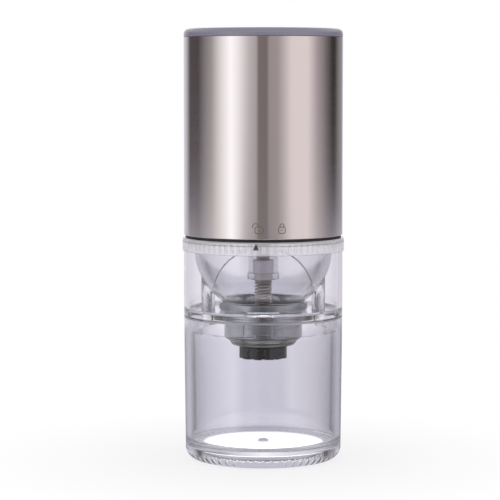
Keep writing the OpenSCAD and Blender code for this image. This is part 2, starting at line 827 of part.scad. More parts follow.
module steel_sleeve() {
    hem = 0.5;
    color(STEEL) difference() {
        rotate_extrude() polygon([
            [body_r - sleeve_t, sleeve_z], [body_r - hem / 2, sleeve_z], [body_r, sleeve_z + hem / 2],
            [body_r, cap_z - hem / 2], [body_r - hem / 2, cap_z], [body_r - sleeve_t, cap_z]
        ]);
        port_window(0, 4);
    }
}

module chassis() {
    arm_wall = 2;
    collar_wall = 2.4;
    sleeve_gap = 0.6;
    pilot_h = post_screw_length - bulkhead_t + screw_tip_gap;
    color(GREY) difference() {
        union() {
            intersection() {
                translate([0, 0, clamp_z]) cylinder(r = base_r - sleeve_gap, h = clamp_t);
                union() {
                    translate([-base_r, -cell_r - arm_wall, clamp_z])
                        cube([2 * base_r, 2 * (cell_r + arm_wall), clamp_t]);
                    translate([-post_r - over, -base_r, clamp_z])
                        cube([2 * (post_r + over), 2 * base_r, clamp_t]);
                    translate([0, 0, clamp_z]) cylinder(r = motor_r + collar_wall, h = clamp_t);
                }
            }
            for (s = [-1, 1]) translate([0, s * post_y, deck_z])
                cylinder(r = post_r, h = clamp_z - deck_z + over);
        }
        translate([0, 0, clamp_z - over]) cylinder(r = motor_r + fit, h = clamp_t + 2 * over);
        for (s = [-1, 1])
            translate([s * cell_x, 0, clamp_z - over]) cylinder(r = cell_r + fit, h = clamp_hold + over);
        for (s = [-1, 1])
            translate([0, s * post_y, deck_z - over])
                cylinder(r = post_screw_r + turn_gap, h = pilot_h + over);
    }
}

module chassis_screws() {
    color(STEEL) for (s = [-1, 1])
        translate([0, s * post_y, bulkhead_z]) screw(post_screw_r, post_screw_length, 2 * post_screw_r, 1);
}

module battery(s) {
    bevel = 0.6;
    button = 2.7;
    top = cell_z + cell_h;
    shoulder = top - 1.2;
    color(WRAP) translate([s * cell_x, 0, 0]) rotate_extrude() polygon([
        [0, cell_z], [cell_r - bevel, cell_z], [cell_r, cell_z + bevel], [cell_r, shoulder - bevel],
        [cell_r - bevel, shoulder], [button, shoulder], [button, top], [0, top]
    ]);
}

// ---------------------------------------------------------------- gearbox and motor

module gearbox_case() {
    ring_pitch = gear_module * ring_teeth / 2;
    color(GREY) difference() {
        union() {
            translate([0, 0, deck_z]) cylinder(r = motor_r, h = gearbox_top_z - deck_z);
            translate([0, 0, nose_z]) cylinder(r = nose_r, h = deck_z - nose_z + over);
        }
        translate([0, 0, carrier_z - run]) cylinder(r = carrier_r + run, h = gear_z - carrier_z + run);
        translate([0, 0, gear_z - bush_sink]) rotate(180 / ring_teeth) linear_extrude(gearbox_top_z)
            polygon(gear_outline(ring_teeth, gear_module, ring_pitch - 2 * gear_module / 2.5,
                ring_pitch + ring_dedendum, -backlash / 2 / ring_pitch * 180 / PI, 3));
        translate([0, 0, nose_z - over]) cylinder(r = output_r + run, h = gear_z);
        translate([0, 0, nose_z - over]) cylinder(r = bush_r + fit / 2, h = bush_h + 2 * over);
        around(case_bolts, case_bolt_start)
            translate([case_bolt_x, 0, deck_z - over])
                cylinder(r = case_bolt_r, h = over + 0.7 * gearbox_floor_t);
    }
}

module gearbox_cover() {
    color(GREY) difference() {
        translate([0, 0, gearbox_top_z]) cylinder(r = motor_r, h = gearbox_cover_t);
        translate([0, 0, gearbox_top_z - over])
            cylinder(r = boss_stub_r + 2 * fit, h = gearbox_cover_t + 2 * over);
        around(2) translate([front_screw_x, 0, gearbox_top_z - over])
            cylinder(r = front_screw_r + 2 * fit, h = gearbox_cover_t + 2 * over);
    }
}

module gearbox_screws() {
    color(STEEL) around(2) translate([front_screw_x, 0, gearbox_top_z + run])
        screw(front_screw_r, front_screw_length, 1.1 * front_screw_r, 0.2);
}

module output_bush() {
    color(BRASS) ring(output_r + turn_gap, bush_r, nose_z + bush_sink, nose_z + bush_sink + bush_h);
}

module planet_carrier() {
    color(STEEL) {
        translate([0, 0, carrier_z]) cylinder(r = carrier_r, h = carrier_t);
        around(planets) translate([planet_orbit, 0, carrier_z]) cylinder(r = pin_r, h = carrier_t + gear_h);
        translate([0, 0, output_foot_z]) cylinder(r = output_r, h = carrier_z - output_foot_z + over);
    }
}

module drive_bit() {
    tip_h = 0.5;
    color(STEEL) {
        translate([0, 0, bit_z + tip_h]) hexagon(bit_af, output_foot_z - bit_z - tip_h);
        translate([0, 0, bit_z]) cylinder(r1 = bit_af / 2 - tip_h, r2 = bit_af / 2, h = tip_h);
    }
}

module planet_gear(i) {
    color(NYLON) rotate(i * 360 / planets) translate([planet_orbit, 0, gear_z])
        rotate(180 / planet_teeth) spur_gear(planet_teeth, pin_r + turn_gap);
}

module sun_pinion() {
    color(BRASS) translate([0, 0, gear_z]) spur_gear(sun_teeth, motor_shaft_r + 2 * eps);
}

module motor_can() {
    can_r = motor_r - can_gap;
    stub_h = 1.6;
    vent_w = 4;
    vent_h = 8;
    color(STEEL) difference() {
        union() {
            translate([0, 0, motor_z]) cylinder(r = can_r, h = motor_h);
            translate([0, 0, motor_z - stub_h]) cylinder(r = boss_stub_r, h = stub_h + root);
        }
        translate([0, 0, motor_z + can_wall]) cylinder(r = can_r - can_wall, h = motor_h);
        translate([0, 0, motor_z - stub_h - over])
            cylinder(r = motor_shaft_r + shaft_gap, h = stub_h + can_wall + 2 * over);
        around(2)
            translate([front_screw_x, 0, motor_z - over])
                cylinder(r = front_screw_r + 1.5 * fit, h = can_wall + 2 * over);
        around(2, 90)
            translate([can_r - can_wall - over, -vent_w / 2, motor_z + motor_h * 0.45])
                cube([can_wall + 3 * over, vent_w, vent_h]);
    }
}

module motor_cap() {
    z = motor_z + motor_h;
    bore = motor_shaft_r + shaft_gap;
    plug_r = motor_r - can_gap - can_wall - fit;
    plug_h = 4;
    disc_t = 2;
    flange_t = 1.4;
    hub_out = 2;
    tag_x = 8;
    tag = [0.6, 2, 4];
    slot = [2, 2.4, 4];
    color(NYLON) difference() {
        union() {
            ring(bore, plug_r, z - plug_h, z - plug_h + disc_t);
            ring(bore, motor_r - can_gap, z, z + flange_t);
            ring(plug_r - 1.7, plug_r, z - plug_h, z + flange_t / 2);
            ring(bore, boss_stub_r, z - plug_h, z + flange_t + hub_out);
        }
        for (s = [-1, 1]) translate([s * tag_x - slot[0] / 2, -slot[1] / 2, z - plug_h - over]) cube(slot);
    }
    color(BRASS) for (s = [-1, 1]) translate([s * tag_x - tag[0] / 2, -tag[1] / 2, z + flange_t]) cube(tag);
}

module motor_rotor() {
    poles = 3;
    core_gap = 5;
    core_r = motor_r - 3.2;
    core_z = motor_z + core_gap;
    core_h = motor_h - 16;
    slot_w = 7;
    slot_x = motor_r - 1.4;
    commutator_r = 3;
    commutator_h = 5;
    color(STEEL) {
        translate([0, 0, gear_z]) cylinder(r = motor_shaft_r, h = motor_z + motor_h + over - gear_z);
        difference() {
            translate([0, 0, core_z]) cylinder(r = core_r, h = core_h);
            around(poles) translate([slot_x, 0, core_z]) rotate(45)
                cube([slot_w, slot_w, 3 * core_h], center = true);
        }
        translate([0, 0, core_z + core_h]) cylinder(r = commutator_r, h = commutator_h);
    }
}

// ---------------------------------------------------------------- top of the housing

module circuit_board() {
    notch = 1.6;
    notch_w = port_w + 4;
    color(BOARD) difference() {
        translate([0, 0, board_z]) cylinder(r = board_r, h = board_t);
        around(board_posts, board_post_start)
            translate([board_post_x, 0, board_z - over])
                cylinder(r = board_screw_r + 2 * fit, h = board_t + 2 * over);
        translate([-notch_w / 2, board_r - notch, board_z - over])
            cube([notch_w, 2 * notch, board_t + 2 * over]);
    }
}

module board_screws() {
    color(STEEL) around(board_posts, board_post_start)
        translate([board_post_x, 0, board_z]) screw(board_screw_r, board_screw_length, 2 * board_screw_r, 1);
}

module charge_socket() {
    depth = 7.3;
    wall = 0.3;
    back_wall = 1.2;
    corner = socket_h / 2 - turn_gap;
    tongue = [6.6, 0.7];
    color(STEEL) translate([0, board_r - back_wall + wall - depth, port_z]) rotate([-90, 0, 0]) difference() {
        rounded_bar(socket_w, socket_h, depth, corner);
        translate([0, 0, back_wall])
            rounded_bar(socket_w - 2 * wall, socket_h - 2 * wall, depth, corner - wall);
    }
    color(DARK) translate([0, board_r - back_wall + wall - depth, port_z]) rotate([-90, 0, 0])
        rounded_bar(tongue[0], tongue[1], depth - over, wall);
}

module push_switch() {
    body = 6;
    plunger_r = 1.7;
    plunger_out = 0.6;
    color(DARK) {
        translate([-body / 2, -body / 2, board_top_z]) cube([body, body, switch_h - plunger_out]);
        translate([0, 0, board_top_z]) cylinder(r = plunger_r, h = switch_h);
    }
}

module inner_lid() {
    rim_z = cap_z - lid_t - lid_rim_h;
    rim_wall = 1.6;
    guide_wall = 1.7;
    guide_h = 3;
    port_gap = [port_w + 4.4, 8];
    post_h = cap_z - lid_t - board_top_z;
    pilot_h = board_screw_length - board_t + run;
    color(DARK) difference() {
        union() {
            ring(stem_r + run, base_r, cap_z - lid_t, cap_z);
            ring(base_r - rim_wall, base_r, rim_z, cap_z - lid_t / 2);
            ring(stem_r + run, stem_r + run + guide_wall, cap_z - lid_t - guide_h, cap_z);
            around(board_posts, board_post_start)
                translate([board_post_x, 0, board_top_z]) cylinder(r = board_post_r, h = post_h + over);
        }
        around(board_posts, board_post_start)
            translate([board_post_x, 0, board_top_z - over])
                cylinder(r = board_screw_r + turn_gap, h = pilot_h + over);
        translate([-port_gap[0] / 2, base_r - 5, rim_z - over])
            cube([port_gap[0], port_gap[1], lid_rim_h + 0.9 * over]);
    }
}

module top_panel() {
    key_r = 1.2;
    color(GREY) difference() {
        ring(lens_hole_r + fit, panel_r, cap_z, cap_z + panel_t);
        around(2, 45) translate([panel_r, 0, cap_z - over]) cylinder(r = key_r, h = panel_t + 2 * over);
    }
}

module top_lens() {
    color(CLEAR) difference() {
        rotate_extrude() difference() {
            union() {
                translate([lens_hole_r, cap_z]) square([body_r - lens_hole_r - cap_round, cap_h]);
                translate([lens_hole_r, cap_z]) square([body_r - lens_hole_r, cap_h - cap_round]);
                translate([body_r - cap_round, cap_top_z - cap_round]) circle(cap_round);
            }
            translate([0, cap_z - cap_round]) square([body_r + over, cap_round]);
            translate([0, cap_z - over]) square([panel_r + fit, panel_t + over]);
        }
        around(cap_flutes)
            translate([panel_r + fit, 0, cap_z - over])
                cylinder(r = cap_flute_r, h = panel_t + over, $fn = 24);
    }
}

module light_ring() {
    color(NYLON) ring(button_r + run, lens_hole_r - fit, cap_z, cap_top_z - button_sink / 2);
}

module power_button() {
    dish_r = 40;
    dish = 0.5;
    stem_z = board_top_z + switch_h + button_travel + turn_gap;
    color(STEEL) difference() {
        union() {
            translate([0, 0, button_top_z - button_cap_h])
                cylinder(r = button_r, h = button_cap_h - edge_break);
            translate([0, 0, button_top_z - edge_break])
                cylinder(r1 = button_r, r2 = button_r - edge_break, h = edge_break);
            translate([0, 0, stem_z]) cylinder(r = stem_r, h = button_top_z - over - stem_z);
        }
        translate([0, 0, button_top_z - dish + dish_r]) sphere(dish_r);
    }
}

module button_spring() {
    coil_r = 3.4;
    wire = 0.3;
    turns = 4;
    height = button_top_z - button_cap_h - cap_z;
    color(STEEL) translate([0, 0, cap_z]) coil_spring(coil_r, wire, height, turns, 16, 6);
}

module port_bezel() {
    plug_window = [9.2, 3.5];
    color(DARK) difference() {
        intersection() {
            translate([0, body_r - bezel_depth, port_z]) rotate([-90, 0, 0])
                rounded_bar(port_w - 2 * fit, port_h - 2 * fit, bezel_depth, port_corner);
            cylinder(r = body_r - turn_gap, h = cap_top_z);
        }
        translate([0, body_r - recess_depth, port_z]) rotate([-90, 0, 0])
            rounded_bar(port_w - 2 * bezel_wall, port_h - 2 * bezel_wall, bezel_depth, port_corner);
        translate([0, body_r - 2 * bezel_depth, port_z]) rotate([-90, 0, 0])
            rounded_bar(plug_window[0], plug_window[1], 3 * bezel_depth, 1.6);
    }
}

// Below its hinge's axis the cover is only a barrel, so that nothing of it swings into the bezel
module port_cover() {
    w = port_w - 2 * bezel_wall - 2 * cover_inset;
    h = port_h - 2 * bezel_wall - 2 * cover_inset;
    back_y = body_r - cover_t;
    barrel_w = w - 2 * cover_inset;
    tongue = [7, 1.6, 0.8];
    color(DARK) {
        intersection() {
            union() {
                intersection() {
                    translate([0, back_y, port_z]) rotate([-90, 0, 0])
                        rounded_bar(w, h, 2 * cover_t, hinge_r);
                    translate([-w, 0, hinge_z]) cube([2 * w, 2 * body_r, h]);
                }
                translate([-barrel_w / 2, hinge_y, hinge_z]) rotate([0, 90, 0])
                    cylinder(r = hinge_r, h = barrel_w);
            }
            cylinder(r = body_r + cover_proud, h = cap_top_z);
        }
        translate([0, back_y - tongue[2], port_z]) rotate([-90, 0, 0])
            rounded_bar(tongue[0], tongue[1], tongue[2] + root / 2, 0.7);
    }
}

powder_cup();
cup_seal();
hopper_shell();
collar();
bean_bowl();
bridge();
bridge_bush();
hopper_screws();
burr_housing();
ring_burr();
burr_retainer();
cone_burr();
detent_washer();
mill_shaft();
drive_coupler();
burr_spring();
grind_dial();
dial_nut();
neck_seal();
motor_base();
steel_sleeve();
chassis();
chassis_screws();
battery(-1);  // battery_left
battery(1);  // battery_right
gearbox_case();
gearbox_cover();
output_bush();
planet_carrier();
drive_bit();
planet_gear(0);  // planet_gear_1
planet_gear(1);  // planet_gear_2
planet_gear(2);  // planet_gear_3
sun_pinion();
motor_can();
motor_cap();
motor_rotor();
gearbox_screws();
circuit_board();
board_screws();
charge_socket();
push_switch();
inner_lid();
top_panel();
top_lens();
light_ring();
power_button();
button_spring();
port_bezel();
port_cover();
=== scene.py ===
# %% [markdown]
# # A cordless hand grinder and its finishes
# The grinder is a satin steel motor housing on a clear bean hopper, which stands on a clear
# powder cup. Its shapes come from a CAD model, and this script gives them what the eye judges
# a real one by: how steel, clear plastic, ceramic and rubber take the light, and the small
# parts that a CAD solid leaves plain. Everything is in metres, with +Z up and the front at -Y.

import json
import math

import bpy
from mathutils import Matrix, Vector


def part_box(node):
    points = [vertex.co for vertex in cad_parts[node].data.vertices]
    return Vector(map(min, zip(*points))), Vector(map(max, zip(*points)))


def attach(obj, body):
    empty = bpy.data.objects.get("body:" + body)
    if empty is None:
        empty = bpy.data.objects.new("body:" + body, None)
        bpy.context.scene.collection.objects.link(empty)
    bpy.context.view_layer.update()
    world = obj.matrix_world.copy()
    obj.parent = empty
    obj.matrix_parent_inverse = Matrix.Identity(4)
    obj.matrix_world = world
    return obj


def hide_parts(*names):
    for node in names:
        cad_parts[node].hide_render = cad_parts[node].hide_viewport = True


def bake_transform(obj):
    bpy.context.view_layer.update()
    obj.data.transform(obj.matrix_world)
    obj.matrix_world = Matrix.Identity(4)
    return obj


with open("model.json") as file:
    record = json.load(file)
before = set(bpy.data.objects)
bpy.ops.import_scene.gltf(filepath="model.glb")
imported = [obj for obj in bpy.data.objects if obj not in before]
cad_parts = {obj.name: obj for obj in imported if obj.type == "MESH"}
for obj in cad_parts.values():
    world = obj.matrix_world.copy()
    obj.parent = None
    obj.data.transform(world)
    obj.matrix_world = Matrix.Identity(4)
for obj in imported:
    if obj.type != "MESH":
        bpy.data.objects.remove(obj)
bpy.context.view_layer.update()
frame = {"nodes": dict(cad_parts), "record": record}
nodes = frame["nodes"]
scene = bpy.context.scene

# %% [markdown]
# ## Helpers for node trees
# Materials, the studio round the object and the Geometry Nodes are all node trees. One small
# function adds a node, sets its settings and links its inputs. Colours are written as the hex
# values that a paint chart gives, and turned into the linear light that a renderer adds up.

# %% Helpers: millimetres, colours and nodes
MM = 0.001


def linear(hex_code):
    """A #rrggbb sRGB colour as linear light."""
    steps = [int(hex_code[k : k + 2], 16) / 255 for k in (1, 3, 5)]
    light = [c / 12.92 if c <= 0.04045 else ((c + 0.055) / 1.055) ** 2.4 for c in steps]
    return (*light, 1.0)


def add(tree, kind, settings=None, inputs=None):
    """Adds a node: its settings by name, its inputs by name or number, as a value or a socket."""
    node = tree.nodes.new(kind)
    for name, value in (settings or {}).items():
        setattr(node, name, value)
    for key, value in (inputs or {}).items():
        socket = node.inputs[key]
        if isinstance(value, bpy.types.Node):
            value = next(s for s in value.outputs if s.enabled)
        if isinstance(value, bpy.types.NodeSocket):
            tree.links.new(value, socket)
        else:
            socket.default_value = value
    return node


def fill_ramp(ramp, stops):
    """Gives a colour ramp node its (place, colour) stops."""
    bar = ramp.color_ramp
    while len(bar.elements) > 1:
        bar.elements.remove(bar.elements[0])
    for k, (place, colour) in enumerate(stops):
        stop = bar.elements[0] if k == 0 else bar.elements.new(place)
        stop.position = place
        stop.color = colour


def put(name, data):
    """A new object with that mesh or camera, in the scene, at the origin."""
    thing = bpy.data.objects.new(name, data)
    scene.collection.objects.link(thing)
    return thing


def new_material(name):
    """A new material and its node tree, which starts empty."""
    material = bpy.data.materials.new(name)
    material.use_nodes = True
    material.node_tree.nodes.clear()
    return material, material.node_tree


# Kinds of node and settings that come often
MATH, RANGE = "ShaderNodeMath", "ShaderNodeMapRange"
PLUS, MINUS = {"operation": "ADD"}, {"operation": "SUBTRACT"}
TIMES, OVER = {"operation": "MULTIPLY"}, {"operation": "DIVIDE"}
TIMES_PLUS = {"operation": "MULTIPLY_ADD"}
SINE, COSINE = {"operation": "SINE"}, {"operation": "COSINE"}
SMALLER, LARGER = {"operation": "LESS_THAN"}, {"operation": "MAXIMUM"}
ARC, TO_AND_FRO = {"operation": "ARCTAN2"}, {"operation": "PINGPONG"}
MIX = {"data_type": "RGBA"}
SMOOTH = {"interpolation_type": "SMOOTHSTEP"}
print("helpers ready")

# %% [markdown]
# ## Camera
# A long lens far off keeps the sides parallel. It is a little above the cap and looks down
# slightly, which shows the rims as flat ellipses.

# %% Camera
LENS_MM = 154.8
CAMERA_PLACE = (-5.85 * MM, -947 * MM, 168.5 * MM)
CAMERA_TILT = math.radians(90 - 4.605)

camera = put("studio_camera", bpy.data.cameras.new("studio_camera"))
camera.data.lens = LENS_MM
camera.data.sensor_width = 36
camera.location = CAMERA_PLACE
camera.rotation_euler = (CAMERA_TILT, 0, 0)
scene.camera = camera
print("camera", CAMERA_PLACE, "lens", LENS_MM)

# %% [markdown]
# ## The studio
# Steel shows what stands round it and little else, so the studio matters as much as the metal:
# white cards and dark flags hang round the shiny can. Here they are soft bands of the world,
# placed by their compass direction as seen from the can. 0 degrees is towards the camera, and
# positive angles are to its right.
#
# A view that leaves the object keeps about the slope with which it came, and the lens looks
# down more on what is lower. So the bands come in three heights: the steel sleeve meets the
# high ones, the hopper the middle ones and the cup the low ones.

# %% Studio: the high bands, which the steel shows
CARD_PEAK = 1.35  # what the brightest card emits
# What hangs there: its (direction in degrees, brightness against the peak) along the band
CARDS = {
    "backdrop": [(-180, "#e2dfe9"), (-166, "#c8c5cf"), (168, "#c4c1cb"), (180, "#e2dfe9")],
    "left strip": [(-150, "#bab8bb"), (-141, "#949194")],
    "left rear flag": [(-132, "#4a4546"), (-108, "#423d3e")],
    "left side": [(-98, "#676262"), (-80, "#928e8d")],
    "key card": [(-62, "#dedcda"), (-48, "#ffffff"), (-36, "#ece8e8")],
    "grey room": [(-20, "#bbb4b4"), (-9.5, "#a69e9d"), (7.5, "#968c8b"), (20, "#999090")],
    "camera's own shade": [(-8, "#716866"), (5, "#6d6463")],
    "warm fill card": [(40, "#d9cecd"), (66, "#dacfce")],
    "right side": [(84, "#9c9394")],
    "right rear flag": [(104, "#625b5b"), (117, "#2f2a2a"), (125, "#302b2b")],
    "right strip": [(140, "#7a7574"), (156, "#8c898f")],
}
print("high stops:", sum(len(stops) for stops in CARDS.values()))

# %% [markdown]
# The hopper's clear walls would show the dark flags as hard black edges. So its own bands have
# pale flags, and a grey cloth hangs before the camera, which darkens only the reflections.

# %% Studio: the middle bands, which the hopper shows
MIDDLE_FROM, MIDDLE_TO = -0.068, -0.08  # slopes of the view where these bands take over
MIDDLE_CARDS = {
    "backdrop": [(-180, "#d6d3d9"), (-172, "#d3d0d7"), (172, "#d1ced5"), (180, "#d6d3d9")],
    "backdrop's wing": [(-165, "#c2bfc6"), (-147, "#bab7bf"), (147, "#b6b3bb"), (165, "#bebbc2")],
    "left rear flag": [(-130, "#c0bdc4"), (-106, "#bcb9c0")],
    "key card": [(-62, "#dedcda"), (-46, "#ffffff")],
    "cloth before the camera": [
        (-28, "#aaa7a8"), (-10, "#8d8a8b"), (10, "#8d8a8b"), (28, "#aaa7a8"),
    ],
    "warm fill card": [(46, "#d8d2d2"), (66, "#d8d2d2")],
    "right rear flag": [(106, "#b6b3b9"), (130, "#bcb9c0")],
}
print("middle stops:", sum(len(stops) for stops in MIDDLE_CARDS.values()))

# %% [markdown]
# The cup stands before a lavender sheet. The walls of a cup bend the view most near its sides,
# so the folds in the sheet show there as the thin dark lines that make clear plastic look clear.

# %% Studio: the low bands, which the cup shows
LOW_FROM, LOW_TO = -0.113, -0.125
LOW_CARDS = {
    "lavender sheet": [
        (-180, "#bebcc8"), (-177, "#b4b2bd"), (-175, "#b1afba"), (175, "#aeacb6"),
        (177, "#b1afb9"), (180, "#bebcc8"),
    ],
    "sheet turning away": [
        (-172.5, "#a8a6af"), (-170, "#9b98a0"), (170, "#97949d"), (172.5, "#a4a2ab"),
    ],
    "fold in the sheet": [
        (-168.8, "#646267"), (-167.2, "#6c6a6f"), (167.2, "#6a686d"), (168.8, "#626065"),
    ],
    "sheet's wing": [
        (-165.5, "#928f97"), (-158, "#a09ea7"), (-143, "#a8a7af"), (143, "#a09fa7"),
        (158, "#9a98a1"), (165.5, "#8e8b93"),
    ],
    "left rear flag": [(-112, "#77747a")],
    "key card": [(-62, "#dedcda"), (-46, "#ffffff")],
    "cloth before the camera": [
        (-28, "#8a8788"), (-10, "#7d7a7b"), (9, "#7a7677"), (28, "#8a8788"),
    ],
    "camera's own shade": [(-8, "#5f5a57"), (6, "#5f5a57")],
    "warm fill card": [(44, "#c9c2c2"), (66, "#cdc5c5")],
    "right rear flag": [(112, "#716e74")],
}
print("low stops:", sum(len(stops) for stops in LOW_CARDS.values()))

# %% [markdown]
# A colour ramp holds each set of bands. The compass direction of the view runs along the ramp,
# and the view's height fades one ramp into the next.

# %% Studio: the bands in the world
world = bpy.data.worlds.new("soft_studio")
scene.world = world
world.use_nodes = True
tree = world.node_tree
tree.nodes.clear()


def compass_bands(tree, place, cards):
    """The cards' colours by the compass direction of place, and place's own three numbers."""
    axis = add(tree, "ShaderNodeSeparateXYZ", inputs={0: place})
    toward = add(tree, MATH, TIMES, {0: axis.outputs["Y"], 1: -1.0})
    turn = add(tree, MATH, ARC, {0: axis.outputs["X"], 1: toward})
    along = {"Value": turn, "From Min": -math.pi, "From Max": math.pi}
    ramp = add(tree, "ShaderNodeValToRGB", inputs={0: add(tree, RANGE, inputs=along)})
    stops = sorted(stop for card in cards.values() for stop in card)
    fill_ramp(ramp, [((degrees + 180) / 360, linear(shade)) for degrees, shade in stops])
    return ramp.outputs["Color"], axis


view = add(tree, "ShaderNodeTexCoord").outputs["Generated"]
bands, axis = compass_bands(tree, view, CARDS)
for cards, begin, end in ((MIDDLE_CARDS, MIDDLE_FROM, MIDDLE_TO), (LOW_CARDS, LOW_FROM, LOW_TO)):
    lower_bands, _ = compass_bands(tree, view, cards)
    fade = {"Value": axis.outputs["Z"], "From Min": begin, "From Max": end}
    share = add(tree, RANGE, SMOOTH, fade)
    bands = add(tree, "ShaderNodeMix", MIX, {0: share, 6: bands, 7: lower_bands})
peak = add(tree, "ShaderNodeVectorMath", {"operation": "SCALE"}, {0: bands, "Scale": CARD_PEAK})
print("band nodes:", len(tree.nodes))

# %% [markdown]
# The bands end under a bright ceiling. What a ray meets depends on its kind, which the Light
# Path node tells: the camera sees a white sheet, mirrors and clear plastic see the bands, and
# everything else gets a plain dome near strength 1, which shows a colour as written. A ray that
# left a matt surface carries light rather than a picture, so it gets the dome too.

# %% Studio: ceiling, dome and the choice between them
CEILING_FROM, CEILING_TO = 0.16, 0.42  # heights of the view direction where the ceiling begins
CEILING = "#f4f4f6"
DOME_LOW, DOME_HIGH = "#e2e2e4", "#ffffff"


def looks_on(tree):
    """Two sockets that are 1 for the camera's rays, and for those that show a picture in gloss."""
    path = add(tree, "ShaderNodeLightPath")
    glossy, clear = path.outputs["Is Glossy Ray"], path.outputs["Is Transmission Ray"]
    either = add(tree, MATH, LARGER, {0: glossy, 1: clear})
    no_matt = add(tree, MATH, SMALLER, {0: path.outputs["Diffuse Depth"], 1: 0.5})
    picture_ray = add(tree, MATH, TIMES, {0: either, 1: no_matt})
    return path.outputs["Is Camera Ray"], picture_ray


rise = {"Value": axis.outputs["Z"], "From Min": CEILING_FROM, "From Max": CEILING_TO}
ceiling_share = add(tree, RANGE, SMOOTH, rise)
picture = add(tree, "ShaderNodeMix", MIX, {0: ceiling_share, 6: peak, 7: linear(CEILING)})
dome_share = add(tree, RANGE, inputs={"Value": axis.outputs["Z"], "From Min": -1.0})
dome_ends = {6: linear(DOME_LOW), 7: linear(DOME_HIGH)}
dome = add(tree, "ShaderNodeMix", MIX, {0: dome_share, **dome_ends})
camera_ray, picture_ray = looks_on(tree)
seen = add(tree, "ShaderNodeMix", MIX, {0: picture_ray, 6: dome, 7: picture})
seen = add(tree, "ShaderNodeMix", MIX, {0: camera_ray, 6: seen, 7: linear("#ffffff")})
light = add(tree, "ShaderNodeBackground", inputs={"Color": seen, "Strength": 1.0})
add(tree, "ShaderNodeOutputWorld", inputs={"Surface": light})
# A look through the hopper crosses up to eight walls, each with two faces
scene.cycles.max_bounces = 32
scene.cycles.transmission_bounces = 28
scene.cycles.glossy_bounces = 12
scene.cycles.transparent_max_bounces = 16
scene.view_settings.view_transform = "Standard"
print("world nodes:", len(tree.nodes))

# %% [markdown]
# ## Floor
# The grinder stands on a sheet of pale paper. For the camera the sheet brightens to white away
# from the foot and keeps the soft shadow near it. Mirrors and clear plastic see it lavender
# near the foot, and further off they see the low bands of the studio through it.

# %% Floor
FLOOR_R = 600 * MM
FLOOR_GAP = 0.05 * MM  # the foot's moulded ring touches the sheet without sharing its plane
NEAR_R, FAR_R = 38 * MM, 56 * MM  # where the lavender, as mirrors see it, fades out
SHADOW_R, WHITE_R = 40 * MM, 150 * MM  # where the paper, as the camera sees it, turns white
PAPER, LAVENDER = "#f4f4f6", "#b4b2be"
FIBRES_PER_M = 900.0  # paper fibres of about a millimetre


def disc(name, radius, height, points=128):
    """A flat round sheet at that height."""
    mesh = bpy.data.meshes.new(name)
    turns = [k * math.tau / points for k in range(points)]
    mesh.from_pydata(
        [(radius * math.cos(t), radius * math.sin(t), height) for t in turns], [], [range(points)]
    )
    sheet = put(name, mesh)
    return sheet


floor = disc("paper_floor", FLOOR_R, -FLOOR_GAP)
paper, tree = new_material("pale_paper_sheet")
point = add(tree, "ShaderNodeTexCoord").outputs["Object"]
reach = add(tree, "ShaderNodeVectorMath", {"operation": "LENGTH"}, {0: point}).outputs["Value"]
sizes = {"Vector": point, "Scale": FIBRES_PER_M, "Detail": 3.0}
fibres = add(tree, "ShaderNodeTexNoise", inputs=sizes).outputs[0]
sizes = {"Height": fibres, "Strength": 0.05, "Distance": 0.1 * MM}
tooth = add(tree, "ShaderNodeBump", inputs=sizes)
matt = add(tree, "ShaderNodeBsdfDiffuse", inputs={"Color": linear(PAPER), "Normal": tooth})
white = add(tree, "ShaderNodeEmission", inputs={"Color": linear("#ffffff")})
fade = {"Value": reach, "From Min": SHADOW_R, "From Max": WHITE_R, "To Min": 0.7, "To Max": 1.0}
away = add(tree, RANGE, SMOOTH, fade)
camera_look = add(tree, "ShaderNodeMixShader", inputs={0: away, 1: matt, 2: white})
fade = {"Value": reach, "From Min": NEAR_R, "From Max": FAR_R}
far = add(tree, RANGE, SMOOTH, fade)
near_look = add(tree, "ShaderNodeEmission", inputs={"Color": linear(LAVENDER)})
far_look = add(tree, "ShaderNodeBsdfTransparent")
mirror_look = add(tree, "ShaderNodeMixShader", inputs={0: far, 1: near_look, 2: far_look})
camera_ray, picture_ray = looks_on(tree)
look = add(tree, "ShaderNodeMixShader", inputs={0: picture_ray, 1: matt, 2: mirror_look})
look = add(tree, "ShaderNodeMixShader", inputs={0: camera_ray, 1: look, 2: camera_look})
add(tree, "ShaderNodeOutputMaterial", inputs={"Surface": look})
floor.data.materials.append(paper)
print("floor radius", FLOOR_R)

# %% [markdown]
# ## Cards in the foot's hollow
# The cup's floor stands clear of the table on its foot ring. Clear plastic over a hollow would
# look empty, so a small lit card lies in it and shows white from above. A grey card just under
# it backs it, because the foot's flutes look up at it, and white would wash them out.

# %% White card in the foot's hollow, and the grey one that backs it
HOLLOW_CARD_R, HOLLOW_CARD_Z, BACKING_Z = 26.8 * MM, 4.95 * MM, 4.85 * MM
CARD_LIGHT = 1.9  # the floor's two faces pass about half of it at so flat an angle

for name, height, shade, level in (
    ("foot_card", HOLLOW_CARD_Z, "#ffffff", CARD_LIGHT),
    ("foot_card_backing", BACKING_Z, "#c2c0cb", 1.0),
):
    sheet = disc(name, HOLLOW_CARD_R, height, points=96)
    card, tree = new_material(name)
    matt = add(tree, "ShaderNodeBsdfDiffuse", inputs={"Color": linear(shade)})
    lit = add(tree, "ShaderNodeEmission", inputs={"Color": linear(shade), "Strength": level})
    _, picture_ray = looks_on(tree)
    look = add(tree, "ShaderNodeMixShader", inputs={0: picture_ray, 1: matt, 2: lit})
    add(tree, "ShaderNodeOutputMaterial", inputs={"Surface": look})
    sheet.data.materials.append(card)
print("card", HOLLOW_CARD_R, HOLLOW_CARD_Z)

# %% [markdown]
# ## Finishes
# Every material starts as a Principled shader with the colour, roughness and IOR of the real
# stuff. A fine pattern on Object coordinates then breaks up its roughness or tilts its surface,
# as moulding, turning or brushing does. Pattern sizes are given in millimetres.

